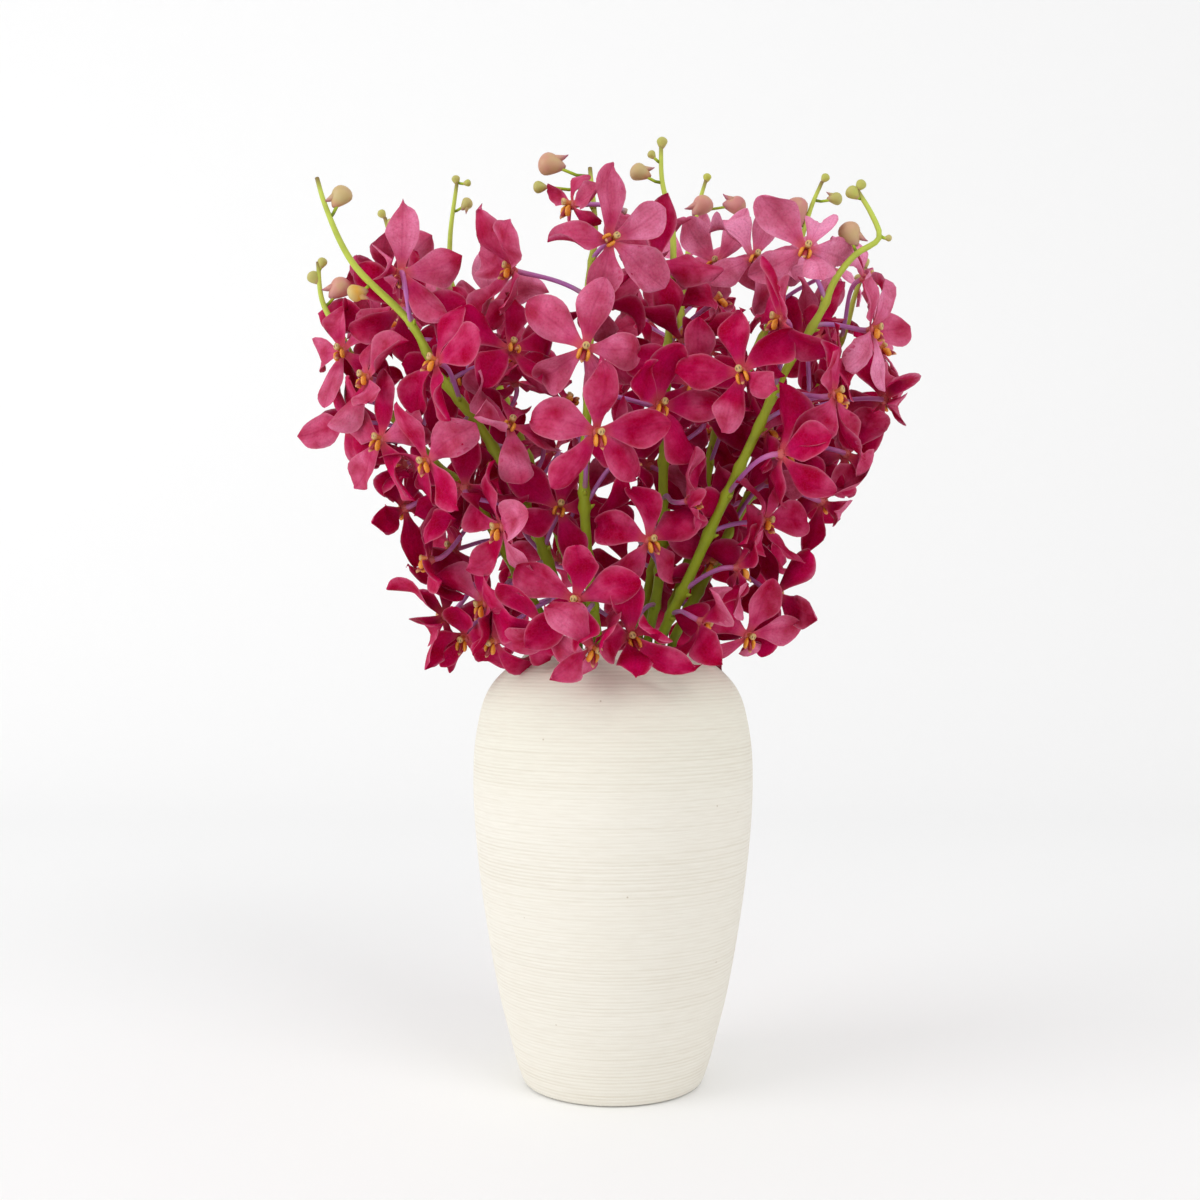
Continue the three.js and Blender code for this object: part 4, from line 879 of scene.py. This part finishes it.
stems = {}
for name, course in zip(sprays, stem_courses):
    stem_points, foot = stem_line(course)
    stems[name] = stem_points
    last = len(stem_points) - 1
    joints = [np.array(flower["stalk"][1]) * 1000 for flower in flowers[name]]
    line = [(foot + (stem_points[0] - foot) * t, stem_foot_radius + (stem_neck_radius - stem_foot_radius) * t)
            for t in (0, *steps_below_neck)]
    for i, point in enumerate(stem_points):
        away = min(np.linalg.norm(point - joint) for joint in joints)
        swell = 1 + joint_swell * math.exp(-(away / joint_length) ** 2)
        line.append((point, np.interp(i / last, stem_shares, stem_radii) * swell))
    rods = [line]
    for flower, joint in zip(flowers[name], joints):
        step = min(range(1, last + 1), key=lambda i: np.linalg.norm(stem_points[i] - joint))
        upward = unit(stem_points[step] - stem_points[step - 1])
        outward = np.array(flower["hub"]) * 1000 - joint
        outward = unit(outward - upward * outward.dot(upward))
        thickness = np.interp(step / last, stem_shares, stem_radii)
        rods.append([(stem_points[step] + upward * up + outward * thickness * out,
                      max(bract_tip, share * thickness)) for up, out, share in bract_rings])
    rods = [[(point / 1000, thickness / 1000) for point, thickness in rod] for rod in rods]
    stem = rods_along(f"{name}_stem", rods, stem_sides, stem_green)
    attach(stem, "root")
    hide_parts(name)

# Flower stalks
# A lavender stalk carries each flower from a joint of the stem. It swells toward the flower,
# where the seed chamber sits, and turns olive at its root.
stalk_points, stalk_sides, stalk_end = 12, 7, 0.001
stalk_radius, chamber_swell, chamber_from, root_swell, root_share = 0.0013, 0.0008, 0.6, 0.0006, 0.06
stalk_colours = ((0.0, (0.42, 0.36, 0.12, 1)), (0.1, (0.42, 0.20, 0.28, 1)), (0.25, (0.46, 0.13, 0.48, 1)),
                 (0.75, (0.52, 0.12, 0.42, 1)), (1.0, (0.52, 0.07, 0.22, 1)))
stalk_finish, stalk_tree, stalk_shader, on_stalk = node_material("lavender_stalk")
stalk_ramp = ramp_of(stalk_tree, read_value(stalk_tree, "along"), stalk_colours)
stalk_mottle, stalk_normal = mottled(stalk_tree, on_stalk, 220, band=(0, 1, 0.35), bump=(0.2, 0.0003))
colour = mixed(stalk_tree, stalk_mottle, stalk_ramp, (0.62, 0.30, 0.58, 1))
feed(stalk_tree, stalk_shader, {"Base Color": colour, "Normal": stalk_normal, "Roughness": 0.4})

for name in sprays:
    lines = []
    for flower in flowers[name]:
        root, leaves, reach = flower["stalk"]
        hub, front = flower["hub"], flower["front"]
        first = leaves * (1 - stalk_lead) + hub * stalk_lead + Vector((0, 0, stalk_rise * reach))
        second = hub - front * stalk_back * reach
        line = []
        for t in np.linspace(0, 1, stalk_points):
            point = leaves * (1 - t) ** 3 + 3 * first * t * (1 - t) ** 2
            point += 3 * second * t * t * (1 - t) + root * t ** 3
            swell = chamber_swell * max(0, t - chamber_from) + root_swell * math.exp(-(t / root_share) ** 2)
            line.append((point, stalk_radius + swell))
        line.append((root + front * stalk_end, stalk_radius))
        lines.append(line)
    stalks = rods_along(f"{name}_stalks", lines, stalk_sides, stalk_finish)
    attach(stalks, "root")
    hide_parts(name)

# Tip buds
# Closed buds at the end of each spray: the lowest are large and tan pink, the last ones small
# and green. Each is a blunt spindle of folded petals with shallow seams, and the large ones
# have a hooked spur. They are given by photo pixel, size in mm, ripeness and the spur's side.
tip_buds = [
    [(341, 197, 5.4, 0.52, -1), (357, 292, 4.6, 0.42, -1)],
    [(322, 263, 2.8, 0.16, 0), (314, 278, 3.6, 0.2, 0), (340, 289, 6.2, 0.8, -1)],
    [(381, 216, 2.6, 0.1, 0), (392, 224, 2.6, 0.3, 0), (443, 290, 5.2, 1.0, 1)],
    [(456, 180, 2.7, 0.16, 0), (467, 183, 2.3, 0.1, 0), (466, 204, 3.8, 0.3, 1)],
    [(551, 165, 6.2, 0.68, 1), (540, 187, 3.3, 0.2, 0)],
    [(662, 143, 3.1, 0.12, 0), (652, 155, 2.4, 0.14, 0), (640, 173, 5.2, 0.52, 1)],
    [(707, 178, 2.7, 0.0, 0), (703, 208, 6.6, 0.8, -1), (735, 206, 6.4, 0.88, -1)],
    [(826, 180, 2.7, 0.08, 0), (835, 199, 4, 0.22, -1), (797, 212, 8, 0.86, -1)],
    [(853, 193, 3.5, 0.12, 0), (862, 187, 2.8, 0.12, 0), (850, 234, 5.8, 0.6, 1), (888, 238, 1.8, 0.3, 0)],
    [(865, 265, 2.8, 0.2, 0), (858, 280, 2.4, 0.3, 0)],
]
bud_rings = [(-0.15, 0.16), (0.02, 0.3), (0.25, 0.46), (0.5, 0.62), (0.8, 0.78), (1.1, 0.91), (1.4, 0.97),
             (1.7, 0.91), (1.95, 0.74), (2.12, 0.5), (2.2, 0.28)]
spur_rings = ((1.0, 0.4, 0.56, 0), (0.55, 0.74, 0.38, 0.25), (0.2, 1.06, 0.2, 0.7), (0.0, 1.34, 0.07, 1.0))
bud_sides, bud_wide, bud_deep, seam_floor, seam_height = 18, 1.04, 0.84, 0.88, 0.16
bud_below_middle, bud_shortest_stalk, bud_rise, spur_lean, spur_ripeness = 1.1, 1.5, 2.0, 0.22, 0.03
bud_stalk_sides, bud_stalk_radii = 7, (0.001, 0.0009, 0.0009, 0.0009)
bud_stalk_sag, bud_stalk_inside, bud_stem_shares = 0.08, 0.4, np.arange(0.6, 1.0001, 0.02)
foot_blush, blush_length, ripening, lean_length = 0.5, 0.6, 0.06, 1.3
seam_rate, seam_start, seam_twist, seam_roundness = 1.5, 0.4, 0.3, 0.4
bud_colours = ((0.0, (0.52, 0.58, 0.06, 1)), (0.2, (0.44, 0.47, 0.10, 1)), (0.35, (0.52, 0.47, 0.15, 1)),
               (0.42, (0.78, 0.42, 0.02, 1)), (0.5, (0.56, 0.46, 0.20, 1)), (0.68, (0.60, 0.32, 0.20, 1)),
               (0.88, (0.64, 0.24, 0.23, 1)), (1.0, (0.40, 0.07, 0.10, 1)))
bud_finish, bud_tree, bud_shader, on_bud = node_material("folded_bud")
bud_ramp = ramp_of(bud_tree, read_value(bud_tree, "ripeness"), bud_colours)
green_patch, _ = mottled(bud_tree, on_bud, 110, band=(0.45, 0.7, 0.45))
bud_mottle, bud_normal = mottled(bud_tree, on_bud, 240, 4, band=(0, 1, 0.3), bump=(0.25, 0.0004))
colour = mixed(bud_tree, green_patch, bud_ramp, (0.58, 0.50, 0.16, 1))
colour = mixed(bud_tree, bud_mottle, colour, (0.40, 0.18, 0.10, 1))
colour = mixed(bud_tree, read_value(bud_tree, "blush"), colour, (0.42, 0.11, 0.20, 1))
feed(bud_tree, bud_shader, {"Base Color": colour, "Normal": bud_normal, "Roughness": 0.48})


def stem_point_for(bud, stem_points):
    """The point of the upper stem that a bud, given by its photo pixel, stands nearest to."""
    px, py, size = bud[:3]
    steps = np.concatenate([[0], np.cumsum(np.linalg.norm(np.diff(stem_points, axis=0), axis=1))])
    steps /= steps[-1]
    best, nearest = math.inf, stem_points[-1]
    for share in bud_stem_shares:
        point = np.array([np.interp(share, steps, [p[k] for p in stem_points]) for k in range(3)])
        seen = from_photo(px, py, point[1])
        away = math.hypot(seen[0] - point[0], seen[2] - point[2] - size * bud_below_middle)
        if away < best:
            best, nearest = away, point
    return nearest


for name, buds in zip(sprays, tip_buds):
    corners, faces, ripe, blush, bud_lines = [], [], [], [], []
    for bud in buds:
        px, py, size, ripeness, spur = bud
        nearest = stem_point_for(bud, stems[name])
        centre = from_photo(px, py, nearest[1])
        direction = unit(centre - nearest + np.array((0, 0, bud_rise)))
        foot = centre - direction * size * bud_below_middle
        length = np.linalg.norm(foot - nearest)
        if length < bud_shortest_stalk:
            foot = nearest
        else:
            middle = (nearest + foot) / 2 - np.array((0, 0, bud_stalk_sag * length))
            inside = foot + direction * size * bud_stalk_inside
            places = (nearest, middle, foot, inside)
            bud_lines.append([(place / 1000, thickness) for place, thickness in zip(places, bud_stalk_radii)])
        across_one = unit(np.cross((0.0, 1.0, 0.0), direction))
        across_two = np.cross(direction, across_one)
        around = [2 * math.pi * s / bud_sides for s in range(bud_sides)]
        faces += closed_ring_faces(len(bud_rings), bud_sides, len(corners))
        for t, wide in bud_rings:
            lean = across_one * spur * spur_lean * max(0, 1 - t / lean_length)
            for a in around:
                folds = abs(math.sin(seam_rate * a + seam_start + seam_twist * t)) ** seam_roundness
                seam = seam_floor + seam_height * folds
                flat = bud_wide * across_one * math.cos(a) + bud_deep * across_two * math.sin(a)
                corners.append(foot + (direction * t + lean + flat * wide * seam) * size)
            ripe += [ripeness + ripening * (t - 1)] * bud_sides
            blush += [foot_blush * max(0, 1 - t / blush_length)] * bud_sides
        corners += [foot, foot + direction * bud_rings[-1][0] * size]
        ripe += [ripeness] * 2
        blush += [foot_blush, 0]
        if spur:
            hook, hook_end = len(corners), len(corners) + (len(spur_rings) - 1) * bud_sides
            faces += ring_faces(len(spur_rings), bud_sides, hook)
            faces.append(tuple(range(hook, hook + bud_sides))[::-1])
            faces.append(tuple(range(hook_end, hook_end + bud_sides)))
            for t, off, wide, pink in spur_rings:
                middle = foot + (direction * t + across_one * spur * off) * size
                corners += [middle + (across_one * math.cos(a) + across_two * math.sin(a)) * wide * size
                            for a in around]
                ripe += [ripeness + spur_ripeness] * bud_sides
                blush += [pink] * bud_sides
    bud_piece = mesh_object(f"{name}_buds", [c / 1000 for c in corners], faces, bud_finish)
    keep_on(bud_piece, "ripeness", ripe)
    keep_on(bud_piece, "blush", blush)
    closed_up(bud_piece)
    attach(bud_piece, "root")
    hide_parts(name)
    if bud_lines:
        short = rods_along(f"{name}_bud_stalks", bud_lines, bud_stalk_sides, stem_green)
        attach(short, "root")
        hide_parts(name)
